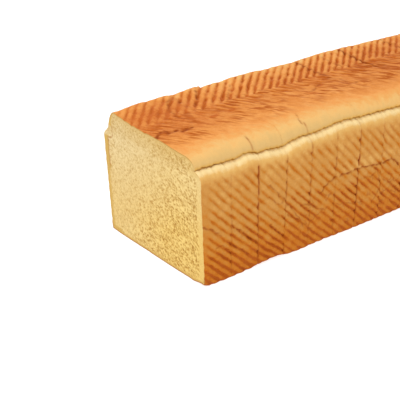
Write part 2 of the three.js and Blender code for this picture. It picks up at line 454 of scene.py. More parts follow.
    def ring(self, station: np.ndarray, number: int, steps: RingSteps) -> np.ndarray:
        """The whole section at several stations: up the near side, over the top and down the far side.

        Args:
            station: Places along the loaf.
            number: The slice it belongs to.
            steps: Steps of the ring.

        Returns:
            Array of stations by ring points by (x, z).
        """
        near = self.half_ring(Side.NEAR, station, number, steps)
        far = self.half_ring(Side.FAR, station, number, steps)
        return np.concatenate([near, far[:, -2:0:-1]], 1)


# ---- Relief of the crust -------------------------------------------------------------------------


@dataclass
class CrustPatch:
    """Places on the crust of one slice.

    Attributes:
        x: Places across.
        y: Stations.
        z: Heights.
        run: Stations as the ribs count them, which run on round the loaf's end.
        side: +1 on the near half and -1 on the far one.
        wall: Share that belongs to a wall.
        lid: Share that belongs to the top crust with its shoulders.
        notch: How deep a place lies in the seam, from 0 to 1.
        below: How far it lies below the seam.
        ribbed: How strongly the tin's ribs show.
        number: The slice.
    """

    x: np.ndarray
    y: np.ndarray
    z: np.ndarray
    run: np.ndarray
    side: np.ndarray
    wall: np.ndarray
    lid: np.ndarray
    notch: np.ndarray
    below: np.ndarray
    ribbed: np.ndarray
    number: int


@dataclass
class CrustField:
    """Height of the crust over its section, its toasting, its grooves, cracks and wrinkles, at each place, with
    some painted shade and highlight in the colours.
    """

    height: np.ndarray
    tone: np.ndarray
    groove: np.ndarray
    crack_and_shade: np.ndarray
    wrinkled: np.ndarray


@dataclass(frozen=True)
class RibStyle:
    """How one face's ribs are pressed into the crust.

    Attributes:
        broad: Depth of the wide grooves.
        line: Depth of the dark lines in them.
        toast_and_shade: How much darker grooves are than ridges, partly toasting, partly painted shade and
            highlight.
        level: Share of a groove's strength at which it is coloured as the crust round it.
    """

    broad: float
    line: float
    toast_and_shade: float
    level: float


@dataclass
class Ribs:
    """Ribs of one face: depth of their grooves, the dark lines in these and how their colour differs, partly
    toasting, partly painted shade and highlight.
    """

    depth: np.ndarray
    line: np.ndarray
    toast_and_shade: np.ndarray


class Face(Enum):
    """Faces of the loaf that a crack's points are laid out on."""

    NEAR_WALL = "near_wall"
    TOP = "top"


@dataclass(frozen=True)
class Crack:
    """A crack in the crust.

    Attributes:
        face: The face it runs over.
        points: Its corners as (station, height) on a wall or (station, x) on top.
        width: Half its width.
        depth: Its depth.
        shade: How dark it is, from 0 to 1.
    """

    face: Face
    points: tuple[tuple[float, float], ...]
    width: float
    depth: float
    shade: float


@dataclass(frozen=True)
class Stain:
    """A soft patch that is toasted more or less than the crust round it.

    Attributes:
        face: The face it lies on.
        centre: Its middle as (station, height) on a wall or (station, x) on top.
        reach: How far it reaches along the loaf and across.
        tone: What it adds to the toasting.
    """

    face: Face
    centre: tuple[float, float]
    reach: tuple[float, float]
    tone: float


class CrustRelief:
    """Height and toasting of the crust, with some painted shade and highlight: ribs of the fluted tin, lumps,
    cracks, wrinkles and fine grain.

    Attributes:
        RIB_PITCH: Distance along the loaf from rib to rib.
        WALL_STARTS: Station of the first rib at the foot of the near wall, as each slice counts it.
        FAR_WALL_START: How much later the far wall's ribs start.
        WALL_SLOPE: Height gained per distance along a rib, on the lower wall.
        WALL_STEEPENING: How much steeper the ribs are further up.
        LID_SLOPE: The same as the walls' slope for the chevrons' far arms, at the open end.
        LID_FLATTENING: How much flatter they lie further along the loaf.
        NEAR_ARM_SLOPE: How fast the near arms fall back along the loaf.
        LID_START: How far across the top the far arms are counted from.
        LID_GAIN: How far the chevrons' spacing draws them on along the loaf.
        LID_GAIN_REACH: Where it has done so.
        CHEVRON_TIP: Place across the top at which the chevrons turn.
        TIP_WANDER: How far that place strays.
        WALL_RIBS: How the walls' ribs are pressed in.
        LID_RIBS: How the top's are.
        LUMP_SIZE: Size of the crust's soft lumps.
        LUMP_HEIGHT: Their height.
        GRAIN_SIZE: Size of the fine grain.
        GRAIN_HEIGHT: Its height.
        CRACK_WANDER: How far the cracks stray from their laid-out lines.
        CRACKLE_DEPTH: Depth of the hair cracks.
        CRACKLE_SHADE: How dark they are.
        CRACKLE_WIDTH: The noise's value up to which a hair crack reaches.
        FOOT_SHADE: How dark the painted shadow along the very foot of the walls is.
        FOOT_HEIGHT: How high that reaches.
        TONE_WANDER: How far the bands of toasting stray.
        LIP_WANDER: Share of it that the lip's bands stray by.
        LID_WANDER: The same for the top.
        TONE_NOISE: Size and strength of the uneven patches of toasting.
        BASE_TONE: Toasting of the base.
        WALL_TONES: Heights with the walls' toasting.
        LIP_TONES_AND_HIGHLIGHT: Depths below the seam with the most toasting that the lip has there; its pale
            band is partly paler crust, partly painted highlight.
        LID_TONES: Places across the top with its toasting.
        CRACKS: The single cracks.
        STAINS: The single patches.
    """

    RIB_PITCH = 8.5
    WALL_STARTS = (6.4, 7.0, 6.5, 5.8, 5.8, 5.8, 5.1, 3.4, 2.8, 2.4, 2.6, 3.0, 3.4, 3.2)
    FAR_WALL_START = 3.1
    WALL_SLOPE, WALL_STEEPENING = 0.9, 0.16
    LID_SLOPE, LID_FLATTENING, NEAR_ARM_SLOPE = 1.05, 0.15, 0.75
    LID_START, LID_GAIN, LID_GAIN_REACH = 38.0, 9.4, 165.0
    CHEVRON_TIP, TIP_WANDER = -13.0, 3.0
    WALL_RIBS, LID_RIBS = RibStyle(0.9, 0.4, 0.35, 0.4), RibStyle(1.2, 0.5, 0.42, 0.5)
    LUMP_SIZE, LUMP_HEIGHT = 26.0, 0.5
    GRAIN_SIZE, GRAIN_HEIGHT = 2.4, 0.1
    CRACK_WANDER = 1.1
    CRACKLE_DEPTH, CRACKLE_SHADE, CRACKLE_WIDTH = 0.3, 0.5, 0.08
    FOOT_SHADE, FOOT_HEIGHT = 0.7, 1.6
    TONE_WANDER, LIP_WANDER, LID_WANDER = 2.2, 0.2, 1.3
    TONE_NOISE = ((34.0, 0.06), (7.0, 0.06))
    BASE_TONE = 0.95
    WALL_TONES = (
        (0, 1.0), (3, 0.96), (6, 0.92), (15, 0.89), (27, 0.77), (39, 0.67), (51, 0.6), (63, 0.57), (75, 0.52),
        (90, 0.46),
    )
    LIP_TONES_AND_HIGHLIGHT = (
        (-1, 0.03), (1.5, 0.03), (3, 0.09), (5.5, 0.2), (8, 0.31), (11, 0.43), (14, 0.52), (18, 0.62),
        (30, 1.1),
    )
    LID_TONES = (
        (-58, 0.34), (-53, 0.42), (-47, 0.56), (-41, 0.7), (-33, 0.82), (-26, 0.9), (-20, 0.9), (-13, 0.83),
        (-5, 0.78), (3, 0.76), (15, 0.74), (27, 0.65), (36, 0.55), (42, 0.45), (48, 0.34), (53, 0.22),
        (57, 0.08), (60, 0.0),
    )
    CRACKS = (
        Crack(
            Face.NEAR_WALL,
            ((118, 45), (121, 49), (126, 52), (132, 54.5), (144, 54.5), (156, 55.5), (171, 54), (183, 52.5),
             (198, 53), (204, 49), (208, 44)),
            0.95, 0.9, 0.85,
        ),
        Crack(Face.NEAR_WALL, ((25, 46), (34, 37.5), (42, 30), (51, 22.5)), 0.8, 0.6, 0.75),
        Crack(Face.NEAR_WALL, ((22, 33), (30, 25), (37, 19.5), (43, 14.5)), 0.8, 0.6, 0.7),
        Crack(Face.NEAR_WALL, ((-3, 52.5), (6, 47), (14, 40)), 0.7, 0.4, 0.6),
        Crack(Face.NEAR_WALL, ((10, 31), (16, 31.5), (23, 25)), 0.6, 0.3, 0.5),
        Crack(Face.NEAR_WALL, ((62, 68), (70, 60), (78, 51), (86, 41), (94, 30), (100, 21)), 0.75, 0.5, 0.6),
        Crack(Face.NEAR_WALL, ((63, 57), (73, 48.5), (77, 51)), 0.6, 0.3, 0.5),
        Crack(Face.NEAR_WALL, ((64, 33), (72, 25), (80, 18)), 0.7, 0.5, 0.6),
        Crack(Face.NEAR_WALL, ((82, 37), (94, 28), (108, 16)), 0.7, 0.5, 0.6),
        Crack(Face.NEAR_WALL, ((96, 40), (104, 40), (112, 35), (124, 28)), 0.7, 0.5, 0.6),
        Crack(Face.NEAR_WALL, ((97, 29), (105, 20), (112, 26), (122, 29), (128, 30)), 0.6, 0.4, 0.5),
        Crack(Face.NEAR_WALL, ((133, 31), (141, 28), (150, 27), (158, 23), (167, 22)), 0.6, 0.4, 0.5),
        Crack(Face.NEAR_WALL, ((149, 40), (157, 32), (167, 24)), 0.6, 0.4, 0.5),
        Crack(
            Face.NEAR_WALL, ((167, 45), (176, 44), (181, 49), (187, 34), (183, 26), (178, 18)), 0.6, 0.4, 0.5
        ),
        Crack(Face.NEAR_WALL, ((190, 37), (202, 29), (212, 19)), 0.7, 0.5, 0.6),
        Crack(Face.TOP, ((-6, 11), (-2, 7), (3, 3.5), (6, 4), (8, 8.5)), 1.5, 0.6, 1.3),
        Crack(Face.TOP, ((7, 8.5), (12, 9), (15, 9), (18, 12.5), (27, 11)), 1.7, 0.6, 1.3),
        Crack(Face.TOP, ((80, -52), (73, -43), (66, -33), (55, -21)), 1.4, 0.5, 0.75),
        Crack(Face.TOP, ((50, -44), (40, -37), (33, -26), (30, -11)), 1.3, 0.4, 0.6),
        Crack(Face.TOP, ((82, -13), (92, -25), (105, -38)), 1.2, 0.4, 0.5),
        Crack(Face.TOP, ((191, 5), (191, 16), (198, 19)), 1.5, 0.4, 0.6),
        Crack(Face.TOP, ((231, -3), (244, 0), (248, 3)), 1.5, 0.4, 0.65),
        Crack(Face.TOP, ((168, 3), (160, 8), (152, 12)), 1.5, 0.4, 0.55),
        Crack(Face.TOP, ((103, 52), (105, 47), (107, 43), (110, 38)), 0.7, 0.4, 0.5),
    )
    STAINS = (
        Stain(Face.NEAR_WALL, (165, 59), (42, 5), -0.16),
        Stain(Face.NEAR_WALL, (172, 42), (40, 6), 0.1),
        Stain(Face.TOP, (167, 6), (4, 2), 0.25),
        Stain(Face.TOP, (150, 15), (4, 2), 0.2),
        Stain(Face.TOP, (133, -2), (4, 2), 0.25),
        Stain(Face.TOP, (106, -4), (5, 2), 0.2),
        Stain(Face.TOP, (72, 4), (4, 2), 0.2),
        Stain(Face.TOP, (54, 5), (5, 2), 0.2),
        Stain(Face.TOP, (20, 5), (30, 22), 0.12),
        Stain(Face.TOP, (22, -38), (45, 24), 0.14),
    )

    def __init__(self) -> None:
        """Draws the noises."""
        self.lumps = Noise(11)
        self.patches = Noise(23)
        self.fine = Noise(37)
        self.warp = Noise(53)

    def wall_phase(self, patch: CrustPatch) -> np.ndarray:
        """Place across a wall's ribs, in whole ribs: they fall away from the open end and steepen upwards.

        Args:
            patch: Places on the crust.

        Returns:
            The number of ribs passed, with its fraction, for each place.
        """
        heights = np.arange(0, 121.0)
        slope = self.WALL_SLOPE + self.WALL_STEEPENING * np.clip((heights - 40) / 35, 0, 1)
        fall = np.interp(patch.z, heights, np.concatenate([[0], np.cumsum(1 / slope[:-1])]))
        start = self.WALL_STARTS[patch.number] + np.where(patch.side < 0, self.FAR_WALL_START, 0)
        return (patch.run + fall - start) / self.RIB_PITCH

    def lid_phase(self, patch: CrustPatch) -> np.ndarray:
        """Place across the chevrons of the top crust, in whole ribs.

        Args:
            patch: Places on the crust.

        Returns:
            The number of chevrons passed, with its fraction, for each place.
        """
        slope = self.LID_SLOPE - self.LID_FLATTENING * smooth_step(patch.y, 60, 160)
        tip = self.tip(patch)
        far_arm = (np.minimum(patch.x, tip) + self.LID_START) / slope
        crossing = patch.y + far_arm - np.maximum(patch.x - tip, 0) * self.NEAR_ARM_SLOPE
        return (crossing - self.LID_GAIN * smooth_step(crossing, 0, self.LID_GAIN_REACH)) / self.RIB_PITCH

    def tip(self, patch: CrustPatch) -> np.ndarray:
        """Where across the top the chevrons turn."""
        return self.CHEVRON_TIP + self.TIP_WANDER * self.warp.at(0, patch.y, 0, 16.0, 2)

    def tone(self, patch: CrustPatch) -> np.ndarray:
        """Toasting of the crust, from 0 for cream to 1 for the darkest brown, with the lip's painted highlight.

        Args:
            patch: Places on the crust.

        Returns:
            The toasting of each place, before the ribs add theirs.
        """
        place = patch.x, patch.y, patch.z
        calm = 0.15 + 0.85 * np.maximum(smooth_step(patch.below, 3, 14), smooth_step(-patch.below, 4, 14))
        ragged = self.TONE_WANDER * calm * self.patches.at(*place, 9.0, 2)
        # The lip's pale band below the seam: partly paler crust, partly painted highlight where the rounded lip
        # faces up.
        lip = np.interp(patch.below + self.LIP_WANDER * ragged, *zip(*self.LIP_TONES_AND_HIGHLIGHT))
        wall = np.minimum(np.interp(patch.z + ragged, *zip(*self.WALL_TONES)), lip)
        lid = np.interp(patch.x + self.LID_WANDER * ragged, *zip(*self.LID_TONES))
        lid += 0.1 * smooth_step(patch.y, 150, 320)
        lid += 0.14 * smooth_step(patch.y, 110, 200) * smooth_step(patch.x, 20, 40)
        base = np.clip(1 - patch.wall - patch.lid, 0, 1)
        total = patch.wall * wall + patch.lid * lid + base * self.BASE_TONE
        for scale, strength in self.TONE_NOISE:
            total += strength * calm * self.patches.at(*place, scale, 2)
        for stain in self.STAINS:
            across, where = self.laid_out(patch, stain.face)
            along = (patch.y - stain.centre[0]) / stain.reach[0]
            away = along**2 + ((across - stain.centre[1]) / stain.reach[1]) ** 2
            total += stain.tone * np.exp(-(away**1.5)) * where
        return total

    @staticmethod
    def laid_out(patch: CrustPatch, face: Face) -> tuple[np.ndarray, np.ndarray]:
        """The second coordinate that a face's marks are laid out by, and each place's share in the face.

        Args:
            patch: Places on the crust.
            face: The face that is asked for.

        Returns:
            Heights on a wall or places across on top, and shares of 0 to 1.
        """
        if face is Face.NEAR_WALL:
            return patch.z, patch.wall * (patch.side > 0)
        return patch.x, patch.lid

    def crack_marks(self, patch: CrustPatch) -> tuple[np.ndarray, np.ndarray]:
        """Depth and shade that the single cracks add.

        Args:
            patch: Places on the crust.

        Returns:
            Depth in millimetres and shade from 0 to 1, for each place.
        """
        depth, shade = np.zeros(patch.x.shape), np.zeros(patch.x.shape)
        place = patch.x, patch.y, patch.z
        y = patch.y + self.CRACK_WANDER * self.fine.at(*place, 5.0, 2)
        broken = np.clip(0.75 + 0.9 * self.warp.at(*place, 3.5), 0.1, 1.2)
        for crack_and_shade in self.CRACKS:
            stations = [station for station, _ in crack_and_shade.points]
            if patch.y.max() < min(stations) - 3 or patch.y.min() > max(stations) + 3:
                continue
            across, where = self.laid_out(patch, crack_and_shade.face)
            across = across + self.CRACK_WANDER * self.warp.at(*place, 5.0, 2)
            distance = np.full(patch.x.shape, 1e3)
            for (y0, a0), (y1, a1) in zip(crack_and_shade.points, crack_and_shade.points[1:]):
                run, rise = y1 - y0, a1 - a0
                share = np.clip(((y - y0) * run + (across - a0) * rise) / (run * run + rise * rise), 0, 1)
                distance = np.minimum(distance, np.hypot(y - y0 - share * run, across - a0 - share * rise))
            mark = np.exp(-((distance / crack_and_shade.width) ** 2)) * where * broken
            depth = np.maximum(depth, mark * crack_and_shade.depth)
            shade = np.maximum(shade, mark * crack_and_shade.shade)
        return depth, shade

    def wall_ribs(self, patch: CrustPatch) -> Ribs:
        """Ribs of a wall: soft and wide, with dark lines, partly darker crust and partly painted shadow, in
        places on the lower half, and none on the lip.

        Args:
            patch: Places on the crust.

        Returns:
            The ribs.
        """
        wave, strength = self.wave(self.wall_phase(patch), patch), self.strength(patch)
        low = 1 - smooth_step(patch.z, 42, 66)
        lip = 1 - 0.97 * smooth_step(-patch.below - 0.8 * self.patches.at(patch.x, patch.y, 0, 6.0), -15, -6)
        on = patch.wall * patch.ribbed * lip * (0.3 + 0.7 * smooth_step(patch.y, 0, 7))
        dashes = 0.2 + smooth_step(self.warp.at(patch.y * 0.7, patch.z * 0.7, 3.0, 8.0), -0.15, 0.45)
        broad = wave**1.7 * strength * on
        line = 1.1 * wave**7 * dashes * (0.25 + 0.75 * low) * on
        return self.pressed(self.WALL_RIBS, broad, line, on)

    def lid_ribs(self, patch: CrustPatch) -> Ribs:
        """Ribs of the top: wide on the chevrons' far arms, thin and soon lost on their near ones.

        Args:
            patch: Places on the crust.

        Returns:
            The ribs.
        """
        wave, strength = self.wave(self.lid_phase(patch), patch), self.strength(patch)
        tip = self.tip(patch)
        far = 1 - smooth_step(patch.x, tip - 1.5, tip + 1.5)
        along = (0.5 + 0.5 * smooth_step(patch.y, 12, 85)) * (1 - 0.6 * smooth_step(patch.y, 280, 330))
        on = patch.lid * patch.ribbed * along
        dashes = 0.35 + smooth_step(self.patches.at(patch.x * 0.6, patch.y * 0.6, 9.0, 5.0), -0.2, 0.5)
        fade = 1 - smooth_step(patch.x, tip + 8, tip + 22) + 0.12 * (1 - smooth_step(patch.x, 30, 50))
        broad = far * wave**1.5 * strength * on
        line = (far * wave**6 + 1.3 * (1 - far) * fade * wave**2.5) * dashes * on
        ribs = self.pressed(self.LID_RIBS, broad, line, far * on)
        ribs.depth *= 0.12 + 0.88 * smooth_step(patch.x, -52, -38)
        return ribs

    @staticmethod
    def pressed(style: RibStyle, broad: np.ndarray, line: np.ndarray, on: np.ndarray) -> Ribs:
        """Ribs of one style.

        Args:
            style: The face's style.
            broad: Strength of the wide grooves.
            line: Strength of the lines in them.
            on: Share of each place that has ribs at all.

        Returns:
            The ribs.
        """
        depth = style.broad * broad + style.line * line
        return Ribs(depth, line, style.toast_and_shade * (broad - style.level * on))

    def wave(self, phase: np.ndarray, patch: CrustPatch) -> np.ndarray:
        """1 in the middle of a rib's groove and 0 on its ridge, a little bent here and there.

        Args:
            phase: Places across the ribs, in whole ribs.
            patch: The same places on the crust.

        Returns:
            One value for each place.
        """
        place = patch.x, patch.y, patch.z
        bend = 0.08 * self.warp.at(*place, 14.0) + 0.07 * self.warp.at(*place, 4.5)
        return (1 + np.cos(2 * math.pi * (phase + bend))) / 2

    def strength(self, patch: CrustPatch) -> np.ndarray:
        """How strongly the ribs are pressed into the crust from place to place."""
        return np.clip(0.85 + 0.7 * self.patches.at(patch.x, patch.y * 0.6, patch.z, 11.0, 2), 0.2, 1.4)

    def wrinkled(self, patch: CrustPatch) -> np.ndarray:
        """Where on the near half of the top the short fine wrinkles show, from 0 to 1.

        Args:
            patch: Places on the crust.

        Returns:
            One share for each place.
        """
        patchy = np.clip(0.7 + 0.8 * self.patches.at(patch.x, patch.y, 5.0, 13.0), 0.1, 1.2)
        shown = patchy * (0.7 + 0.3 * smooth_step(patch.y, 90, 240))
        fade = smooth_step(patch.x, -22, -10) * (1 - smooth_step(patch.x, 16, 42))
        return np.clip(patch.lid * patch.ribbed * shown * fade, 0, 1)

    def crackle(self, patch: CrustPatch) -> np.ndarray:
        """Net of hair cracks in the dark lower part of the walls.

        Args:
            patch: Places on the crust.

        Returns:
            How strongly a hair crack runs through each place, from 0 to 1.
        """
        place = patch.x, patch.y, patch.z
        lines = np.exp(-((self.warp.at(*place, 10.0, 2) / self.CRACKLE_WIDTH) ** 2))
        patchy = smooth_step(self.patches.at(*place, 15.0), -0.05, 0.45)
        low = between(patch.z, 10, 42, 10)
        return patch.wall * lines * patchy * low * (0.35 + 0.65 * smooth_step(patch.y, 80, 120))

    def field(self, patch: CrustPatch) -> CrustField:
        """The whole relief over one slice's crust.

        Args:
            patch: Places on the crust.

        Returns:
            Height, toasting and dark lines for each place.
        """
        place = patch.x, patch.y, patch.z
        wall, lid = self.wall_ribs(patch), self.lid_ribs(patch)
        crackle = self.crackle(patch)
        crack_depth, crack_shade = self.crack_marks(patch)
        free = 1 - 0.85 * np.minimum(patch.notch * 3, 1)
        height = self.LUMP_HEIGHT * self.lumps.at(*place, self.LUMP_SIZE, 3)
        height += self.GRAIN_HEIGHT * self.fine.at(*place, self.GRAIN_SIZE, 2)
        height -= wall.depth + lid.depth + self.CRACKLE_DEPTH * crackle + crack_depth
        # The ribs' colour: partly toasting, partly painted shade in the grooves and painted highlight on the
        # ridges.
        tone = self.tone(patch) + wall.toast_and_shade + lid.toast_and_shade
        # The grooves' dark lines: partly darker crust, partly painted shadow along the ribs.
        groove = 0.9 * wall.line + lid.line
        # Painted shadow along the walls' foot, where the loaf stands on the floor; it is coloured as the cracks
        # are.
        foot = self.FOOT_SHADE * patch.wall * np.exp(-((patch.z / self.FOOT_HEIGHT) ** 2))
        crack_and_shade = np.maximum(np.maximum(crack_shade, self.CRACKLE_SHADE * crackle), foot)
        return CrustField(height * free, tone, groove, crack_and_shade, self.wrinkled(patch))


# ---- Crumb of the open cut face ------------------------------------------------------------------


@dataclass(frozen=True)
class CrumbRelief:
    """Cells of the soft crumb that the open cut face shows.

    Attributes:
        cells: Number of cells cut open.
        seed: Names the draw.
        smallest: Scale of the cells at the upper far corner.
        growth: What it grows by towards the lower near corner.
        lengths: Shape and scale of the gamma draw of a cell's half length.
        flatness: Least and most width of a cell against its length.
        slant: Middle and spread of the angle that the cells lie at.
        fanning: How much that angle turns per millimetre across.
        depths: Least and most depth of a cell.
    """

    cells: int = 8500
    seed: int = 7
    smallest: float = 0.6
    growth: float = 0.28
    lengths: tuple[float, float] = (4.0, 0.15)
    flatness: tuple[float, float] = (0.4, 0.8)
    slant: tuple[float, float] = (0.5, 0.5)
    fanning: float = 0.02
    depths: tuple[float, float] = (0.3, 1.0)

    @staticmethod
    def coarseness(x: np.ndarray, z: np.ndarray) -> np.ndarray:
        """How coarse the crumb is, from 0 at the upper far corner to 1 at the lower near one."""
        return smooth_step(x - 0.8 * z, -75, 5)

    def field(self, x: np.ndarray, z: np.ndarray, spacing: float) -> np.ndarray:
        """How deep each place of the face lies in a cell.

        Args:
            x: Places across.
            z: Heights.
            spacing: Size of one step of the field that the cells are drawn in.

        Returns:
            Depths of 0 to about 1.
        """
        rng = np.random.default_rng(self.seed)
        low_x, low_z = x.min(), z.min()
        columns, rows = int(np.ptp(x) / spacing) + 2, int(np.ptp(z) / spacing) + 2
        depth = np.zeros((rows, columns))
        for _ in range(self.cells):
            col, row = rng.integers(columns), rng.integers(rows)
            cx, cz = low_x + col * spacing, low_z + row * spacing
            coarse = self.smallest + self.growth * float(self.coarseness(cx, cz))
            long = (0.4 + rng.gamma(*self.lengths)) * coarse
            short = long * rng.uniform(*self.flatness)
            angle = rng.normal(*self.slant) - self.fanning * cx
            reach = int(1.8 * long / spacing) + 1
            c0, c1 = max(col - reach, 0), min(col + reach + 1, columns)
            r0, r1 = max(row - reach, 0), min(row + reach + 1, rows)
            dx = ((np.arange(c0, c1) - col) * spacing)[None, :]
            dz = ((np.arange(r0, r1) - row) * spacing)[:, None]
            u = (dx * math.cos(angle) + dz * math.sin(angle)) / long
            v = (dz * math.cos(angle) - dx * math.sin(angle)) / short
            pit = rng.uniform(*self.depths) * np.exp(-((u * u + v * v) ** 1.5))
            depth[r0:r1, c0:c1] = np.maximum(depth[r0:r1, c0:c1], pit)
        col = np.clip((x - low_x) / spacing, 0, columns - 1.001)
        row = np.clip((z - low_z) / spacing, 0, rows - 1.001)
        i, j = col.astype(int), row.astype(int)
        a, b = col - i, row - j
        lower = depth[j, i] * (1 - a) + depth[j, i + 1] * a
        upper = depth[j + 1, i] * (1 - a) + depth[j + 1, i + 1] * a
        return lower * (1 - b) + upper * b


# ---- Finishes ------------------------------------------------------------------------------------

Colour = tuple[int, int, int]


def linear(colour: Colour) -> tuple[float, float, float, float]:
    """A colour given in display steps of 0 to 255, as the shader's linear values."""
    return (*(((c / 255 + 0.055) / 1.055) ** 2.4 for c in colour), 1.0)


class Graph:
    """Adds and links the nodes of one shader tree."""

    def __init__(self, tree: bpy.types.NodeTree) -> None:
        """Takes the tree to work in.

        Args:
            tree: A material's node tree or a node group.
        """
        self.tree = tree

    def add(self, kind: str, inputs: dict | None = None, **settings: object) -> bpy.types.Node:
        """Adds one node.

        Args:
            kind: The node's type name.
            inputs: Values or output sockets for its input sockets, by name or number.
            settings: The node's own settings.

        Returns:
            The node.
        """
        node = self.tree.nodes.new(kind)
        for name, value in settings.items():
            setattr(node, name, value)
        for name, value in (inputs or {}).items():
            self.feed(node.inputs[name], value)
        return node

    def feed(self, socket: bpy.types.NodeSocket, value: object) -> None:
        """Links an output socket to an input, or sets the input's own value.

        Args:
            socket: The input.
            value: An output socket or a value.
        """
        if isinstance(value, bpy.types.NodeSocket):
            self.tree.links.new(value, socket)
        else:
            socket.default_value = value

    def math(self, operation: str, *values: object, clamp: bool = False) -> bpy.types.NodeSocket:
        """One Math node's result.

        Args:
            operation: What the node does.
            values: Its inputs in order, values or sockets.
            clamp: Whether the result is kept from 0 to 1.

        Returns:
            The result.
        """
        node = self.add("ShaderNodeMath", dict(enumerate(values)), operation=operation, use_clamp=clamp)
        return node.outputs[0]

    def mix(self, share: object, first: object, second: object, blend: str = "MIX") -> bpy.types.NodeSocket:
        """A colour mixed from two.

        Args:
            share: How much of the second there is.
            first: The colour at 0.
            second: The colour at 1.
            blend: How they are mixed.

        Returns:
            The colour.
        """
        inputs = {0: share, 6: first, 7: second}
        return self.add("ShaderNodeMix", inputs, data_type="RGBA", blend_type=blend).outputs[2]

    def attribute(self, name: str) -> bpy.types.NodeSocket:
        """A value that the mesh carries on its points."""
        return self.add("ShaderNodeAttribute", attribute_name=name).outputs["Fac"]

    def noise(self, place: object, scale: object, detail: float) -> bpy.types.NodeSocket:
        """A noise's value."""
        inputs = {"Vector": place, "Scale": scale, "Detail": detail, "Roughness": 0.55}
        return self.add("ShaderNodeTexNoise", inputs).outputs["Fac"]

    def spread(self, value: object, low: float, high: float) -> bpy.types.NodeSocket:
        """A noise's usual 0.25 to 0.75, stretched to reach from low to high."""
        return self.stretch(value, (0.25, 0.75), (low, high))

    def stretch(
        self, value: object, old: tuple[float, float], new: tuple[float, float]
    ) -> bpy.types.NodeSocket:
        """A value's range stretched or turned round to another one, and cut off at its ends."""
        inputs = {0: value, 1: old[0], 2: old[1], 3: new[0], 4: new[1]}
        return self.add("ShaderNodeMapRange", inputs).outputs[0]

    def ramp(self, share: object, stops: tuple[tuple[float, Colour], ...]) -> bpy.types.NodeSocket:
        """A colour looked up along stops.

        Args:
            share: Place along the ramp.
            stops: Positions with their colours.

        Returns:
            The colour socket.
        """
        node = self.add("ShaderNodeValToRGB", {0: share})
        elements = node.color_ramp.elements
        for _ in stops[2:]:
            elements.new(0.5)
        for element, (position, colour) in zip(elements, stops):
            element.position = position
            element.color = linear(colour)
        return node.outputs["Color"]


def baked_grain_group() -> bpy.types.NodeTree:
    """The patchy toasting and fine grain that crust and crumb share, as a node group.

    Returns:
        The group.
    """
    group = bpy.data.node_groups.new("BakedGrain", "ShaderNodeTree")
    group.interface.new_socket("Vector", in_out="INPUT", socket_type="NodeSocketVector")
    for name, value in (("Patch Scale", 150.0), ("Grain Scale", 800.0)):
        group.interface.new_socket(name, in_out="INPUT", socket_type="NodeSocketFloat").default_value = value
    for name in ("Patches", "Grain", "Height"):
        group.interface.new_socket(name, in_out="OUTPUT", socket_type="NodeSocketFloat")
    graph = Graph(group)
    source, sink = graph.add("NodeGroupInput"), graph.add("NodeGroupOutput")
    patches = graph.noise(source.outputs["Vector"], source.outputs["Patch Scale"], 2.0)
    grain = graph.noise(source.outputs["Vector"], source.outputs["Grain Scale"], 1.0)
    height = graph.math("MULTIPLY_ADD", grain, 0.65, graph.math("MULTIPLY", patches, 0.35))
    for name, value in (("Patches", patches), ("Grain", grain), ("Height", height)):
        graph.feed(sink.inputs[name], value)
    return group


@dataclass(frozen=True)
class Finish:
    """What the two finishes share: a principled shader over the baked grain.

    Attributes:
        name: The material's name.
        patch_scale: Scale of the patches, per metre.
        grain_scale: Scale of the grain, per metre.
        bump: Depth of the grain in metres.
    """

    name: str
    patch_scale: float
    grain_scale: float
    bump: float

    BUMP_STRENGTH = 0.5
    ROUGHNESS = (0.62, 0.8)
    SHEEN = 0.12

    def build(self, grain_group: bpy.types.NodeTree) -> bpy.types.Material:
        """Makes the material.

        Args:
            grain_group: The shared node group.

        Returns:
            The material.
        """
        material = bpy.data.materials.new(self.name)
        material.use_nodes = True
        graph = Graph(material.node_tree)
        shader = material.node_tree.nodes["Principled BSDF"]
        grain = graph.add("ShaderNodeGroup", node_tree=grain_group)
        place = graph.add("ShaderNodeTexCoord").outputs["Object"]
        scales = {"Vector": place, "Patch Scale": self.patch_scale, "Grain Scale": self.grain_scale}
        for name, value in scales.items():
            graph.feed(grain.inputs[name], value)
        inputs = {"Strength": self.BUMP_STRENGTH, "Distance": self.bump, "Height": grain.outputs["Height"]}
        graph.feed(shader.inputs["Normal"], graph.add("ShaderNodeBump", inputs).outputs["Normal"])
        graph.feed(shader.inputs["Base Color"], self.colour(graph, grain, place))
        graph.feed(shader.inputs["Roughness"], graph.spread(grain.outputs["Patches"], *self.ROUGHNESS))
        shader.inputs["Specular IOR Level"].default_value = self.SHEEN
        return material

    def colour(self, graph: Graph, grain: bpy.types.Node, place: bpy.types.NodeSocket) -> bpy.types.NodeSocket:
        """The finish's colour over the surface.

        Args:
            graph: The material's nodes.
            grain: The baked grain's node.
            place: Places in space.

        Returns:
            The colour.
        """
        raise NotImplementedError


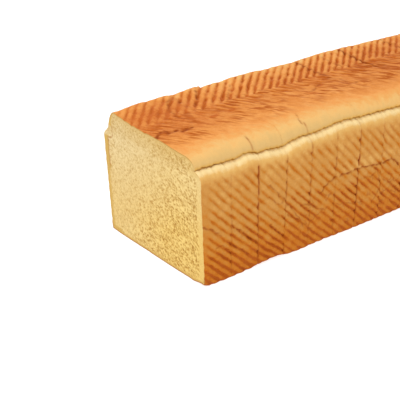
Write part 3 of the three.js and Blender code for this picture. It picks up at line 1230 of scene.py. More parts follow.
@dataclass(frozen=True)
class CrustFinish(Finish):
    """Toasted crust, from the cream of the rim to the deep brown of the base.

    Attributes:
        stops: Colours of the top from the least to the most toasted; the first two, darker and greyer, are
            painted shade at the shoulder's foot.
        side_stops: The same for the walls.
        groove: Colour of the dark lines in the ribs' grooves, partly darker crust, partly painted shadow.
        crack_and_shade: Colour of the cracks, and of the painted shade in the gaps between slices and along the
            walls' foot.
        seam: Colour inside the seam, also painted a little outside it as shade of the crease.
        wrinkle_turn: Angle of the wrinkles over the top, in radians.
        wrinkle_stretch: How many times as long as wide they are.
        wrinkle_scale: Scale of the noise that they follow, per metre.
        wrinkle_bounds: The noise's values between which a wrinkle comes in.
        wrinkle_strength: A wrinkle's full strength.
        patchiness: How far the patches move a place along the stops.
        speckle: How far the grain does.
        groove_share: The groove colour's greatest share.
    """

    # The first two stops, darker and greyer than the third, are painted shade where the near shoulder turns
    # under above the seam.
    stops: tuple[tuple[float, Colour], ...] = (
        (0.0, (206, 168, 108)),
        (0.15, (214, 174, 108)),
        (0.3, (226, 178, 108)),
        (0.45, (225, 162, 89)),
        (0.6, (225, 150, 77)),
        (0.75, (214, 135, 62)),
        (0.86, (207, 123, 54)),
        (1.0, (190, 98, 34)),
    )
    side_stops: tuple[tuple[float, Colour], ...] = (
        (0.0, (238, 214, 158)),
        (0.07, (230, 198, 138)),
        (0.15, (218, 171, 97)),
        (0.38, (202, 143, 69)),
        (0.5, (195, 136, 64)),
        (0.62, (194, 128, 50)),
        (0.77, (192, 115, 29)),
        (0.9, (185, 102, 14)),
        (1.0, (172, 85, 10)),
    )
    groove: Colour = (170, 80, 4)
    crack_and_shade: Colour = (146, 64, 0)
    seam: Colour = (206, 152, 46)
    wrinkle_turn: float = 0.672
    wrinkle_stretch: float = 5.0
    wrinkle_scale: float = 400.0
    wrinkle_bounds: tuple[float, float] = (0.46, 0.58)
    wrinkle_strength: float = 1.5
    patchiness: float = 0.08
    speckle: float = 0.05
    groove_share: float = 0.85

    def colour(self, graph: Graph, grain: bpy.types.Node, place: bpy.types.NodeSocket) -> bpy.types.NodeSocket:
        """Toasting by the mesh's tone, with darker grooves, seam and cracks, partly painted shade and
        highlight.

        Args:
            graph: The material's nodes.
            grain: The baked grain's node.
            place: Places in space.

        Returns:
            The colour.
        """
        tone = graph.attribute("tone")
        uneven = graph.spread(grain.outputs["Patches"], -self.patchiness, self.patchiness)
        speckle = graph.spread(grain.outputs["Grain"], -self.speckle, self.speckle)
        speckle = graph.math("ADD", uneven, speckle)
        calm = graph.math("MULTIPLY_ADD", tone, 2.2, 0.1, clamp=True)
        tone = graph.math("MULTIPLY_ADD", speckle, calm, tone, clamp=True)
        top, side = graph.ramp(tone, self.stops), graph.ramp(tone, self.side_stops)
        colour = graph.mix(graph.attribute("side"), top, side)
        wrinkles = graph.math("MULTIPLY", graph.attribute("wrinkle"), self.wrinkle_lines(graph, place))
        grooves = graph.math("MAXIMUM", graph.attribute("groove"), wrinkles)
        grooves = graph.math("MULTIPLY", grooves, self.groove_share, clamp=True)
        # The grooves' colour, also laid into the wrinkles, is partly darker crust, partly painted shade in the
        # ribs' grooves and at the cuts.
        colour = graph.mix(grooves, colour, linear(self.groove))
        colour = graph.mix(graph.attribute("seam"), colour, linear(self.seam))
        # The cracks' colour also paints the shade in the gaps between slices and the shadow along the walls'
        # foot.
        return graph.mix(graph.attribute("crack_and_shade"), colour, linear(self.crack_and_shade))

    def wrinkle_lines(self, graph: Graph, place: bpy.types.NodeSocket) -> bpy.types.NodeSocket:
        """Short fine lines aslant over the top, 0 between them and 1 in them.

        Args:
            graph: The material's nodes.
            place: Places in space.

        Returns:
            The strength of the lines.
        """
        stretch = (self.wrinkle_stretch, 1.0, 1.0)
        turned = {"Vector": place, "Rotation": (0.0, 0.0, self.wrinkle_turn), "Scale": stretch}
        across = graph.add("ShaderNodeMapping", turned, vector_type="TEXTURE").outputs["Vector"]
        noise = graph.noise(across, self.wrinkle_scale, 1.5)
        return graph.stretch(noise, self.wrinkle_bounds, (0.0, self.wrinkle_strength))


@dataclass(frozen=True)
class CrumbFinish(Finish):
    """Soft cream crumb with open cells, ringed by the crust's skin.

    Attributes:
        stops: Colours from the face's highest places to the deepest cells, darker with depth as painted shade
            in the pits.
        pale: Colour of the paler patches.
        skin: Colour of the baked skin at the rim.
        edge: Colour of the crust's cut edge.
        warm_tint: What the lower and near parts are tinted with.
        warm_heights: Heights in metres between which the tint comes in downwards.
        warm_across: Places across in metres between which it comes in towards the near side.
        warm_below: The tint's greatest share by height.
        warm_near: Its greatest share by place across.
        speckle: How far the grain moves a place along the stops.
        pale_share: The paler patches' greatest share.
    """

    stops: tuple[tuple[float, Colour], ...] = (
        (0.0, (232, 212, 160)),
        (0.25, (223, 201, 149)),
        (0.4, (215, 190, 137)),
        (0.55, (203, 174, 117)),
        (0.75, (182, 146, 84)),
        (1.0, (156, 114, 52)),
    )
    pale: Colour = (222, 200, 156)
    skin: Colour = (198, 160, 84)
    edge: Colour = (156, 92, 34)
    warm_tint: Colour = (255, 240, 190)
    warm_heights: tuple[float, float] = (0.09, 0.03)
    warm_across: tuple[float, float] = (-0.04, 0.03)
    warm_below: float = 0.6
    warm_near: float = 0.5
    speckle: float = 0.12
    pale_share: float = 0.3

    def colour(self, graph: Graph, grain: bpy.types.Node, place: bpy.types.NodeSocket) -> bpy.types.NodeSocket:
        """Crumb that is warmer below, with cells painted darker as shade and the baked skin at its rim.

        Args:
            graph: The material's nodes.
            grain: The baked grain's node.
            place: Places in space.

        Returns:
            The colour.
        """
        speckle = graph.spread(grain.outputs["Grain"], -self.speckle, self.speckle)
        colour = graph.ramp(graph.math("ADD", graph.attribute("cell"), speckle, clamp=True), self.stops)
        axes = graph.add("ShaderNodeSeparateXYZ", {0: place}).outputs
        low = graph.stretch(axes["Z"], self.warm_heights, (0.0, self.warm_below))
        near = graph.stretch(axes["X"], self.warm_across, (0.0, self.warm_near))
        warm = graph.math("ADD", low, near, clamp=True)
        pale = graph.math("MULTIPLY", graph.spread(grain.outputs["Patches"], 0, 1), self.pale_share)
        colour = graph.mix(pale, colour, linear(self.pale))
        colour = graph.mix(warm, colour, linear(self.warm_tint), "MULTIPLY")
        colour = graph.mix(graph.attribute("skin"), colour, linear(self.skin))
        return graph.mix(graph.attribute("edge"), colour, linear(self.edge))


# ---- Slices --------------------------------------------------------------------------------------


class BoxSide(IntEnum):
    """Sides of a slice, the crust's four in the ring's order."""

    BASE = 0
    NEAR = 1
    TOP = 2
    FAR = 3
    FRONT = 4
    BACK = 5

    @classmethod
    def facing(cls, direction: Vector) -> "BoxSide":
        """The side that faces a direction.

        Args:
            direction: From the box's middle.

        Returns:
            The side.
        """
        if abs(direction.y) > 0.9:
            return cls.FRONT if direction.y < 0 else cls.BACK
        if abs(direction.x) > 0.9:
            return cls.NEAR if direction.x > 0 else cls.FAR
        return cls.TOP if direction.z > 0 else cls.BASE


@dataclass
class Lattice:
    """Where each point of a slice's box lies in steps.

    Attributes:
        i: Steps across.
        j: Rows along the loaf.
        k: Steps upward.
        ring: Index round the section, or -1 inside an end.
    """

    i: np.ndarray
    j: np.ndarray
    k: np.ndarray
    ring: np.ndarray

    @classmethod
    def of(cls, mesh: bpy.types.Mesh, steps: RingSteps, rows: int) -> "Lattice":
        """Reads the steps from a box of size 2.

        Args:
            mesh: The box.
            steps: Steps of its sides.
            rows: Rows along the loaf.

        Returns:
            The lattice.
        """
        flat = np.empty(len(mesh.vertices) * 3, np.float32)
        mesh.vertices.foreach_get("co", flat)
        counts = np.array([steps.across, rows - 1, steps.upward])
        i, j, k = np.rint((flat.reshape(-1, 3) + 1) / 2 * counts).astype(int).T
        return cls(i, j, k, cls.ring_index(i, k, steps))

    @staticmethod
    def ring_index(i: np.ndarray, k: np.ndarray, steps: RingSteps) -> np.ndarray:
        """Index round the section of places on the box's sides.

        Args:
            i: Steps across.
            k: Steps upward.
            steps: Steps of the box's sides.

        Returns:
            Indices, -1 for places that are on none of the four sides.
        """
        nx, nz, half = steps.across, steps.upward, steps.across // 2
        index = np.full(i.shape, -1)
        index = np.where(k == 0, (i - half) % (2 * (nx + nz)), index)
        index = np.where(k == nz, half + nz + (nx - i), index)
        index = np.where(i == 0, half + nz + nx + (nz - k), index)
        return np.where(i == nx, half + k, index)


@dataclass
class Skin:
    """Crust of a slice as rows along the loaf by points of the ring: places (x, y, z) and values by name."""

    points: np.ndarray
    values: dict[str, np.ndarray]


@dataclass
class BreadSlice:
    """One slice of the loaf, a closed mesh with crust all round and a flat cut at either end.

    Attributes:
        form: The loaf's dimensions.
        relief: The crust's relief.
        number: Its place in the loaf, from 0 at the open end.
        spacing: Size of one step of its surface.
        gap: Room to the next slice.
        softening: How far the crust draws in at an open cut.
        soft_depth: How far along the slice it does so.
        cut_reach: How far along the slice the painted shade of an open cut reaches.
        steps: Steps round the section.
        shares: Each row's share of the way from the front to the back.
        turns: How far the loaf has turned over to its end at each row, in radians.
        EDGE_ROWS: Distances of the closer rows from a cut.
        RIM_WIDTH: How far the crust's cut edge reaches in on a plain cut.
        RIM_CENTRE: Height of the point that it draws in towards.
        VALUES: Names of the values on the points.
        PLAIN_CELL: How deep in a cell the plain crumb counts as.
        PLAIN_ENDS: Ends that are one flat face inside their rim.
        CRUMB_ENDS: Ends that show crumb.
        SLOT: Name of a material slot, which nothing in the script uses.
        MAP_WIDTH: Width of the base's and the top's strips on the map.
        MAP_HALF_WIDTH: Half the room for an end on the map.
        MAP_ENDS_START: Where the ends start on it.
        MAP_MARGIN: Room between its strips.
        CUT_NOISE: Size of the places at which a cut stands more or less open.
        LIP_SHADE: How strongly the seam's colour reaches over the lip, as painted shade of the crease.
        LIP_SHADE_REACH: How far down it reaches.
    """

    form: LoafForm
    relief: CrustRelief
    number: int
    spacing: float = 0.75
    gap: float = 0.04
    softening: float = 0.9
    soft_depth: float = 2.6
    cut_reach: float = 0.85
    steps: RingSteps = field(init=False)
    shares: np.ndarray = field(init=False)
    turns: np.ndarray = field(init=False)

    EDGE_ROWS = (0.0, 0.22, 0.55, 1.0, 1.6, 2.3)
    RIM_WIDTH = 1.3
    RIM_CENTRE = 50.0
    VALUES = ("tone", "side", "groove", "crack_and_shade", "wrinkle", "seam", "cell", "skin", "edge")
    PLAIN_CELL = 0.3
    PLAIN_ENDS = (BoxSide.FRONT, BoxSide.BACK)
    CRUMB_ENDS = (BoxSide.FRONT, BoxSide.BACK)
    SLOT = "sliced_bread"
    MAP_WIDTH, MAP_HALF_WIDTH, MAP_ENDS_START, MAP_MARGIN = 124, 65, 140, 6
    CUT_NOISE = 6.0
    LIP_SHADE, LIP_SHADE_REACH = 0.55, 1.4

    def __post_init__(self) -> None:
        """Works out the steps round the ring and the rows along the slice."""
        self.steps = RingSteps.of_spacing(self.spacing)
        self.shares, self.turns = self.rows()

    def rows(self) -> tuple[np.ndarray, np.ndarray]:
        """Rows along the slice.

        Returns:
            Their shares of the way from the front to the back, and how far the loaf has turned over there.
        """
        start, end = self.front_station(50.0), self.back_station(50.0)
        edge, thickness = np.array(self.EDGE_ROWS), end - start
        inner = np.linspace(3.1, thickness - 3.1, round((thickness - 6.2) / self.spacing) + 1)
        front = [0.0] if BoxSide.FRONT in self.PLAIN_ENDS else []
        shares = np.concatenate([front, edge, inner, thickness - edge[::-1], [thickness]]) / thickness
        return shares, np.zeros(len(shares))

    @property
    def rims(self) -> tuple[tuple[int, int, int], ...]:
        """Rows of the crust's inner rim on each plain cut, with its outer edge's row and the way it faces."""
        last = len(self.shares) - 1
        rows = {BoxSide.FRONT: (0, 1, -1), BoxSide.BACK: (last, last - 1, 1)}
        return tuple(rows[end] for end in self.PLAIN_ENDS)

    @property
    def node(self) -> str:
        """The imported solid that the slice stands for."""
        return f"slice_{self.number + 1:02d}"

    @property
    def name(self) -> str:
        """The piece's name."""
        return f"bread_{self.node}"

    def front_station(self, height: np.ndarray) -> np.ndarray:
        """Station of the slice's front at a height."""
        return self.form.cut_station(self.number, height)

    def back_station(self, height: np.ndarray) -> np.ndarray:
        """Station of the slice's back at a height."""
        return self.form.cut_station(self.number + 1, height)

    def box(self) -> bpy.types.Mesh:
        """A closed box of even steps, with each face's side as its material index.

        Returns:
            The mesh as a cube of size 2.
        """
        bm = bmesh.new()
        bmesh.ops.create_cube(bm, size=2.0)
        for face in bm.faces:
            face.material_index = BoxSide.facing(face.calc_center_median())
        plain = [face for face in bm.faces if face.material_index in self.PLAIN_ENDS]
        bmesh.ops.delete(bm, geom=plain, context="FACES_ONLY")
        for axis, count in ((0, self.steps.across), (2, self.steps.upward), (1, len(self.shares) - 1)):
            edges = [e for e in bm.edges if abs(e.verts[0].co[axis] - e.verts[1].co[axis]) > 1e-6]
            bmesh.ops.subdivide_edges(bm, edges=edges, cuts=count - 1, use_grid_fill=True)
        rim = [edge for edge in bm.edges if edge.is_boundary]
        for cap in bmesh.ops.holes_fill(bm, edges=rim, sides=0)["faces"]:
            cap.material_index = BoxSide.facing(cap.calc_center_median())
        mesh = bpy.data.meshes.new(self.name)
        bm.to_mesh(mesh)
        bm.free()
        return mesh

    def patch(self, ring: np.ndarray, stations: np.ndarray) -> CrustPatch:
        """The crust's places with the share of each stretch.

        Args:
            ring: Section points, rows by ring points by (x, z).
            stations: Stations of the same points.

        Returns:
            The patch.
        """
        steps, total = self.steps, ring.shape[1]
        index = np.arange(total)
        half = np.minimum(index, total - index).astype(float)
        corner = steps.base + steps.corner / 2
        base = 1 - smooth_step(half, corner - steps.corner, corner + steps.corner)
        along = (half - steps.notch_start) / steps.notch
        lid = smooth_step(along, 0.4, 0.6)
        notch = 1 - np.abs(np.clip(2 * along - 1, -1, 1)) ** 0.8
        side = np.where(index <= steps.half, 1.0, -1.0)
        wall, lid, notch, side = (
            np.broadcast_to(values, ring.shape[:2]) for values in ((1 - base) * (1 - lid), lid, notch, side)
        )
        ribbed = np.broadcast_to(1 - smooth_step(self.turns, 0, 0.8)[:, None], ring.shape[:2])
        x, z = ring[..., 0], ring[..., 1]
        middle = (steps.notch_start + steps.notch // 2, total - steps.notch_start - steps.notch // 2)
        below = np.where(side > 0, z[:, middle[0], None], z[:, middle[1], None]) - z
        return CrustPatch(x, stations, z, stations, side, wall, lid, notch, below, ribbed, self.number)

    def outward(self, ring: np.ndarray, notch: np.ndarray) -> np.ndarray:
        """Outward normals of the section, level inside the seam's notch.

        Args:
            ring: Section points.
            notch: How deep each lies in the seam's notch.

        Returns:
            One direction (x, z) for each point.
        """
        along = np.roll(ring, -2, axis=1) - np.roll(ring, 2, axis=1)
        normal = np.stack([along[..., 1], -along[..., 0]], -1)
        normal /= np.maximum(np.linalg.norm(normal, axis=-1, keepdims=True), 1e-9)
        level = np.stack([np.sign(ring[..., 0]), np.zeros(ring.shape[:2])], -1)
        return np.where((notch > 0)[..., None], level, normal)

    def cut_marks(self, patch: CrustPatch, groove: np.ndarray) -> tuple[np.ndarray, np.ndarray]:
        """How the slice's cuts show on its crust, most where a rib's groove meets them.

        Args:
            patch: Places on the crust.
            groove: The ribs' grooves at these places.

        Returns:
            How far the crust draws in, and how dark the painted shade of the gap between slices is, for each
            place.
        """
        inset, shade = np.zeros(patch.x.shape), np.zeros(patch.x.shape)
        for number in (self.number, self.number + 1):
            if number >= len(self.form.cuts):
                continue
            cut = self.form.cuts[number]
            near = smooth_step(patch.x, 44, 50)
            top = cut.top * between(patch.x, *cut.span, 6.0) * (1 - near)
            wall = cut.wall * (0.45 + 0.55 * smooth_step(patch.below, 4, 10))
            opening = patch.lid * (top + 0.6 * cut.shoulder * near) + (1 - patch.lid) * wall
            opening = opening * (0.5 + 1.1 * np.clip(groove, 0, 1))
            uneven = 0.75 + 0.9 * self.relief.patches.at(patch.x, 40.0 * number, patch.z, self.CUT_NOISE, 2)
            opening = opening * np.clip(uneven, 0.4, 1.4)
            distance = np.abs(patch.y - self.form.cut_station(number, patch.z))
            shape = np.clip(1 - distance / self.soft_depth, 0, 1) ** (2.8 - cut.wall)
            inset += self.softening * (0.02 + opening * (1 - 0.5 * patch.lid)) * shape
            # Painted shade in the gap to the neighbouring slice, darkest where the cut stands open.
            if number > 0:
                reach = self.cut_reach * (1 + patch.lid * (1 - near))
                dark = np.clip(2.2 * opening - 0.2, 0, 0.95) * np.exp(-((distance / reach) ** 2))
                shade = np.maximum(shade, dark)
        return inset, shade

    def round_over(self, ring: np.ndarray, stations: np.ndarray) -> tuple[np.ndarray, np.ndarray]:
        """Section points and stations after the loaf's turning over towards its end, here none."""
        return ring, stations

    def crust(self) -> Skin:
        """The crust's points with their relief.

        Returns:
            The skin.
        """
        seam = self.form.seam_height
        shares = self.shares[:, None]
        levels = self.front_station(seam) * (1 - self.shares) + self.back_station(seam) * self.shares
        ring = self.form.ring(levels, self.number, self.steps)
        stations = self.front_station(ring[..., 1]) * (1 - shares) + self.back_station(ring[..., 1]) * shares
        ring, stations = self.round_over(ring, stations)
        patch = self.patch(ring, stations)
        crust = self.relief.field(patch)
        inset, shade = self.cut_marks(patch, crust.groove)
        out = crust.height - inset - self.form.seam_depth * patch.notch
        tilt = self.turns[:, None]
        moved = ring + self.outward(ring, patch.notch) * (out * np.cos(tilt))[..., None]
        y = stations + out * np.sin(tilt) + self.gap / 2 * (1 - shares) - self.gap / 2 * shares
        z = np.maximum(moved[..., 1], 0.0) + self.form.lift_at(y, moved[..., 0], moved[..., 1])
        points = np.stack([moved[..., 0], y, z], -1)
        middle = np.array([self.form.slice_shift(self.number), 0.0, self.RIM_CENTRE])
        shrink = np.array([1.0, 0.0, 1.0]) * self.RIM_WIDTH / self.form.lid_half_width
        for rim, edge, _ in self.rims:
            points[rim] = points[edge] - (points[edge] - middle) * shrink
        # The seam's colour reaches a little out of the seam: painted shade of the crease.
        below_lip = self.LIP_SHADE * np.exp(-(((patch.below + 0.9) / self.LIP_SHADE_REACH) ** 2))
        values = {
            "tone": crust.tone,
            "side": 1 - patch.lid,
            # At a cut the drawn-in crust is painted with the grooves' colour, and the gap's painted shade is
            # coloured as the cracks are.
            "groove": np.clip(crust.groove + 0.6 * inset, 0, 1),
            "crack_and_shade": np.clip(np.maximum(crust.crack_and_shade, shade), 0, 1),
            "wrinkle": crust.wrinkled,
            "seam": np.maximum(patch.notch**0.5, below_lip),
            "edge": np.zeros(ring.shape[:2]),
        }
        for _, edge, _ in self.rims:
            values["edge"][edge] = 1.0
        return Skin(points, values)

    def coons(self, ring: np.ndarray, i: np.ndarray, k: np.ndarray) -> np.ndarray:
        """Places inside a ring, blended from its four sides.

        Args:
            ring: Ring points by (x, y, z).
            i: Steps across.
            k: Steps upward.

        Returns:
            One point for each pair of steps.
        """
        nx, nz = self.steps.across, self.steps.upward
        u, w = (i / nx)[:, None], (k / nz)[:, None]

        def on(a: object, b: object) -> np.ndarray:
            """The ring's points at places on the box's sides."""
            a, b = np.broadcast_arrays(a, b, i)[:2]
            return ring[Lattice.ring_index(a, b, self.steps)]

        upright = (1 - w) * on(i, 0) + w * on(i, nz)
        level = (1 - u) * on(0, k) + u * on(nx, k)
        low = (1 - u) * on(0, 0) + u * on(nx, 0)
        high = (1 - u) * on(0, nz) + u * on(nx, nz)
        return upright + level - (1 - w) * low - w * high

    def fill_end(self, lattice: Lattice, skin: Skin, points: np.ndarray, values: dict[str, np.ndarray]) -> None:
        """Lays out the points inside a shown end, here none.

        Args:
            lattice: The points' steps.
            skin: The crust.
            points: All points, changed in place.
            values: Their values by name, changed in place.
        """

    def build(self, materials: list[bpy.types.Material]) -> bpy.types.Object:
        """Makes the slice's piece.

        Args:
            materials: The crust's and the crumb's material.

        Returns:
            The object.
        """
        mesh = self.box()
        lattice = Lattice.of(mesh, self.steps, len(self.shares))
        skin = self.crust()
        points = np.zeros((len(mesh.vertices), 3))
        values = {name: np.zeros(len(points)) for name in self.VALUES}
        values["cell"] += self.PLAIN_CELL
        on_skin = lattice.ring >= 0
        at = lattice.j[on_skin], lattice.ring[on_skin]
        points[on_skin] = skin.points[at]
        for name, grid in skin.values.items():
            values[name][on_skin] = grid[at]
        self.fill_end(lattice, skin, points, values)
        self.dress(mesh, lattice, points, values)
        for material in materials:
            mesh.materials.append(material)
        piece = bpy.data.objects.new(self.name, mesh)
        bpy.context.scene.collection.objects.link(piece)
        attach(piece, "root")
        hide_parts(self.node)
        return piece

    def dress(
        self, mesh: bpy.types.Mesh, lattice: Lattice, points: np.ndarray, values: dict[str, np.ndarray]
    ) -> None:
        """Puts points, values, map, finishes and shading into the mesh.

        Args:
            mesh: The slice's box.
            lattice: The points' steps.
            points: The points' places in millimetres.
            values: Their values by name.
        """
        metres = points * MM + [0.0, CAD_BOX[1].y - self.form.length * MM, 0.0]
        mesh.vertices.foreach_set("co", metres.astype(np.float32).ravel())
        for name, numbers in values.items():
            mesh.attributes.new(name, "FLOAT", "POINT").data.foreach_set("value", numbers.astype(np.float32))
        side = np.empty(len(mesh.polygons), np.int32)
        sizes, corner = side.copy(), np.empty(len(mesh.loops), np.int32)
        mesh.polygons.foreach_get("material_index", side)
        mesh.polygons.foreach_get("loop_total", sizes)
        mesh.loops.foreach_get("vertex_index", corner)
        uv = self.unrolled(lattice, points, corner, np.repeat(side, sizes))
        mesh.uv_layers.new(name="OFBake").uv.foreach_set("vector", uv.astype(np.float32).ravel())
        crumb = np.isin(side, self.CRUMB_ENDS).astype(np.int32)
        mesh.polygons.foreach_set("material_index", crumb)
        mesh.polygons.foreach_set("use_smooth", np.ones(len(side), bool))
        ends = np.empty(len(mesh.edges) * 2, np.int32)
        mesh.edges.foreach_get("vertices", ends)
        a, b = ends.reshape(-1, 2).T
        cut_rows = [edge for _, edge, _ in self.rims]
        if BoxSide.FRONT not in self.PLAIN_ENDS:
            cut_rows.append(0)
        on_skin = (lattice.ring[a] >= 0) & (lattice.ring[b] >= 0)
        sharp = on_skin & (lattice.j[a] == lattice.j[b]) & np.isin(lattice.j[a], cut_rows)
        mesh.attributes.new("sharp_edge", "BOOLEAN", "EDGE").data.foreach_set("value", sharp)
        mesh.update()

    def unrolled(
        self, lattice: Lattice, points: np.ndarray, corner: np.ndarray, side: np.ndarray
    ) -> np.ndarray:
        """Places of the face corners on the map: the crust's four sides as strips, the ends beside them.

        Args:
            lattice: The points' steps.
            points: The points' places.
            corner: Each face corner's point.
            side: Each face corner's side.

        Returns:
            One place for each corner, within the unit square.
        """
        x, y, z = points[corner].T
        for rim, _, way in self.rims:
            y = np.where(lattice.j[corner] == rim, y + way * self.RIM_WIDTH, y)
        depth = np.ptp(points[:, 1]) + self.MAP_MARGIN
        level = lattice.i[corner] * self.MAP_WIDTH / self.steps.across
        run = np.where(side % 2 == 0, level, lattice.k[corner] * self.spacing)
        uv = np.stack([run, side * depth + y - points[:, 1].min() + self.RIM_WIDTH], -1)
        for end, corner_x in ((BoxSide.FRONT, 0.0), (BoxSide.BACK, 20.0)):
            at = side == end
            size = 0.1 if end in self.PLAIN_ENDS else 1.0
            uv[at, 0] = self.MAP_ENDS_START + corner_x + (x[at] + self.MAP_HALF_WIDTH) * size
            uv[at, 1] = z[at] * size
        return (uv + 1) / (uv.max() + 2)


class OpenSlice(BreadSlice):
    """The foremost slice, whose front is the loaf's open cut face.

    Attributes:
        RELAX_ROUNDS: How many times the face's points are evened out.
        OPEN_CELL: How deep in a cell the face's crumb counts as on the whole.
        PIT_DEPTH: Depth of the cells.
        SOFT_DEPTH: Depth of the soft unevenness between them.
        GLEAM_HEIGHT: Height of the pale walls that stand up between cells.
        BAND_LIGHT: How much paler the dense band beside the near crust is.
        TOP_SHADE: How much darker the crumb is under the top crust.
    """

    PLAIN_ENDS = (BoxSide.BACK,)
    RELAX_ROUNDS = 400
    OPEN_CELL = 0.46
    PIT_DEPTH, SOFT_DEPTH, GLEAM_HEIGHT = 0.8, 0.15, 0.15
    BAND_LIGHT, TOP_SHADE = 0.1, 0.11

    def fill_end(self, lattice: Lattice, skin: Skin, points: np.ndarray, values: dict[str, np.ndarray]) -> None:
        """Lays out the cut face with its cells.

        Args:
            lattice: The points' steps.
            skin: The crust.
            points: All points, changed in place.
            values: Their values by name, changed in place.
        """
        rim = skin.points[0]
        face = lattice.ring < 0
        inside = self.relaxed(rim)[lattice.i[face], lattice.k[face]]
        x, z = inside[:, 0], inside[:, 2]
        outline = rim[::2, [0, 2]]
        chunks = np.array_split(inside[:, [0, 2]], 80)
        distance = np.sqrt(np.concatenate([((c[:, None] - outline) ** 2).sum(-1).min(1) for c in chunks]))
        crumb = CrumbRelief()
        coarse, cell = crumb.coarseness(x, z), crumb.field(x, z, 0.3)
        cell -= np.polyval(np.polyfit(coarse, cell, 1), coarse)
        near = smooth_step(x, 30, 50) * between(z, 8, 94, 6)
        band = near * (1 - smooth_step(distance, 4.5, 7.0))
        calm = smooth_step(distance, 0.6, 4.0) * (1 - 0.85 * near * (1 - smooth_step(distance, 4.0, 7.5)))
        soft = self.relief.fine.at(x, 0.0, z, 3.2, 2)
        gleam = smooth_step(self.relief.fine.at(x + 90, 0.0, z, 1.9, 2), 0.25, 0.85)
        rough = calm * (0.5 + 0.5 * coarse)
        pits = self.PIT_DEPTH * cell + self.SOFT_DEPTH * soft - self.GLEAM_HEIGHT * gleam
        inside[:, 1] += np.maximum(pits, -0.2) * rough
        points[face] = inside
        # Deeper cells are painted darker, painted shade in the pits; the pale walls between cells a little
        # paler, a painted highlight.
        shade = (cell - 0.05 * gleam + 0.12 * soft) * rough + self.TOP_SHADE * smooth_step(z, 86, 98)
        values["cell"][face] = np.clip(self.OPEN_CELL - self.BAND_LIGHT * band + shade, 0, 1)
        on_rim = (lattice.ring >= 0) & (lattice.j == 0)
        for places, room, across, height in (
            (face, distance, x, z),
            (on_rim, 0.0, points[on_rim, 0], points[on_rim, 2]),
        ):
            values["skin"][places], values["edge"][places] = self.baked_rim(room, across, height)

    def relaxed(self, rim: np.ndarray) -> np.ndarray:
        """Points over the cut face, spread evenly so that they stay within its outline at the seam's notches.

        Args:
            rim: The face's outline.

        Returns:
            Points by steps across and upward, with the outline's own at the sides.
        """
        across, upward = (grid.ravel() for grid in np.indices((self.steps.across + 1, self.steps.upward + 1)))
        at = Lattice.ring_index(across, upward, self.steps)
        points = np.where((at < 0)[:, None], self.coons(rim, across, upward), rim[at])
        grid = points.reshape(self.steps.across + 1, self.steps.upward + 1, 3)
        for _ in range(self.RELAX_ROUNDS):
            grid[1:-1, 1:-1] = (grid[:-2, 1:-1] + grid[2:, 1:-1] + grid[1:-1, :-2] + grid[1:-1, 2:]) / 4
        return grid

    @staticmethod
    def baked_rim(distance: np.ndarray, x: np.ndarray, z: np.ndarray) -> tuple[np.ndarray, np.ndarray]:
        """How strongly the crust's cut edge shows on the open face: gold on the far side and above, none near.

        Args:
            distance: Distance to the face's outline.
            x: Places across.
            z: Heights.

        Returns:
            The shares of golden skin and of brown edge.
        """
        far, above, below = 1 - smooth_step(x, -52, -46), smooth_step(z, 100, 104), 1 - smooth_step(z, 4, 9)
        width = 1.0 + far * (1.5 + 3.0 * between(z, 62, 94, 8.0)) + 1.4 * below
        side = np.clip(far + above + below, 0, 1) * 0.9 + 0.1
        skin = side * (1 - smooth_step(distance, width - 0.6, width + 0.6 + 2.5 * far * (z < 62)))
        toasted = 0.35 * smooth_step(z, 88, 98) * np.exp(-distance / 9)
        skin = np.maximum(skin * (1 - far * between(z, 88, 96, 2.0)), toasted)
        line = far * between(z, 62, 94, 6.0) * 0.6 * np.exp(-(((distance - width) / 0.7) ** 2))
        rim = (0.12 + 0.3 * above + 0.88 * below) * (1 - smooth_step(distance, 0.4, 1.3))
        return skin, np.clip(np.maximum(line, rim), 0, 1)


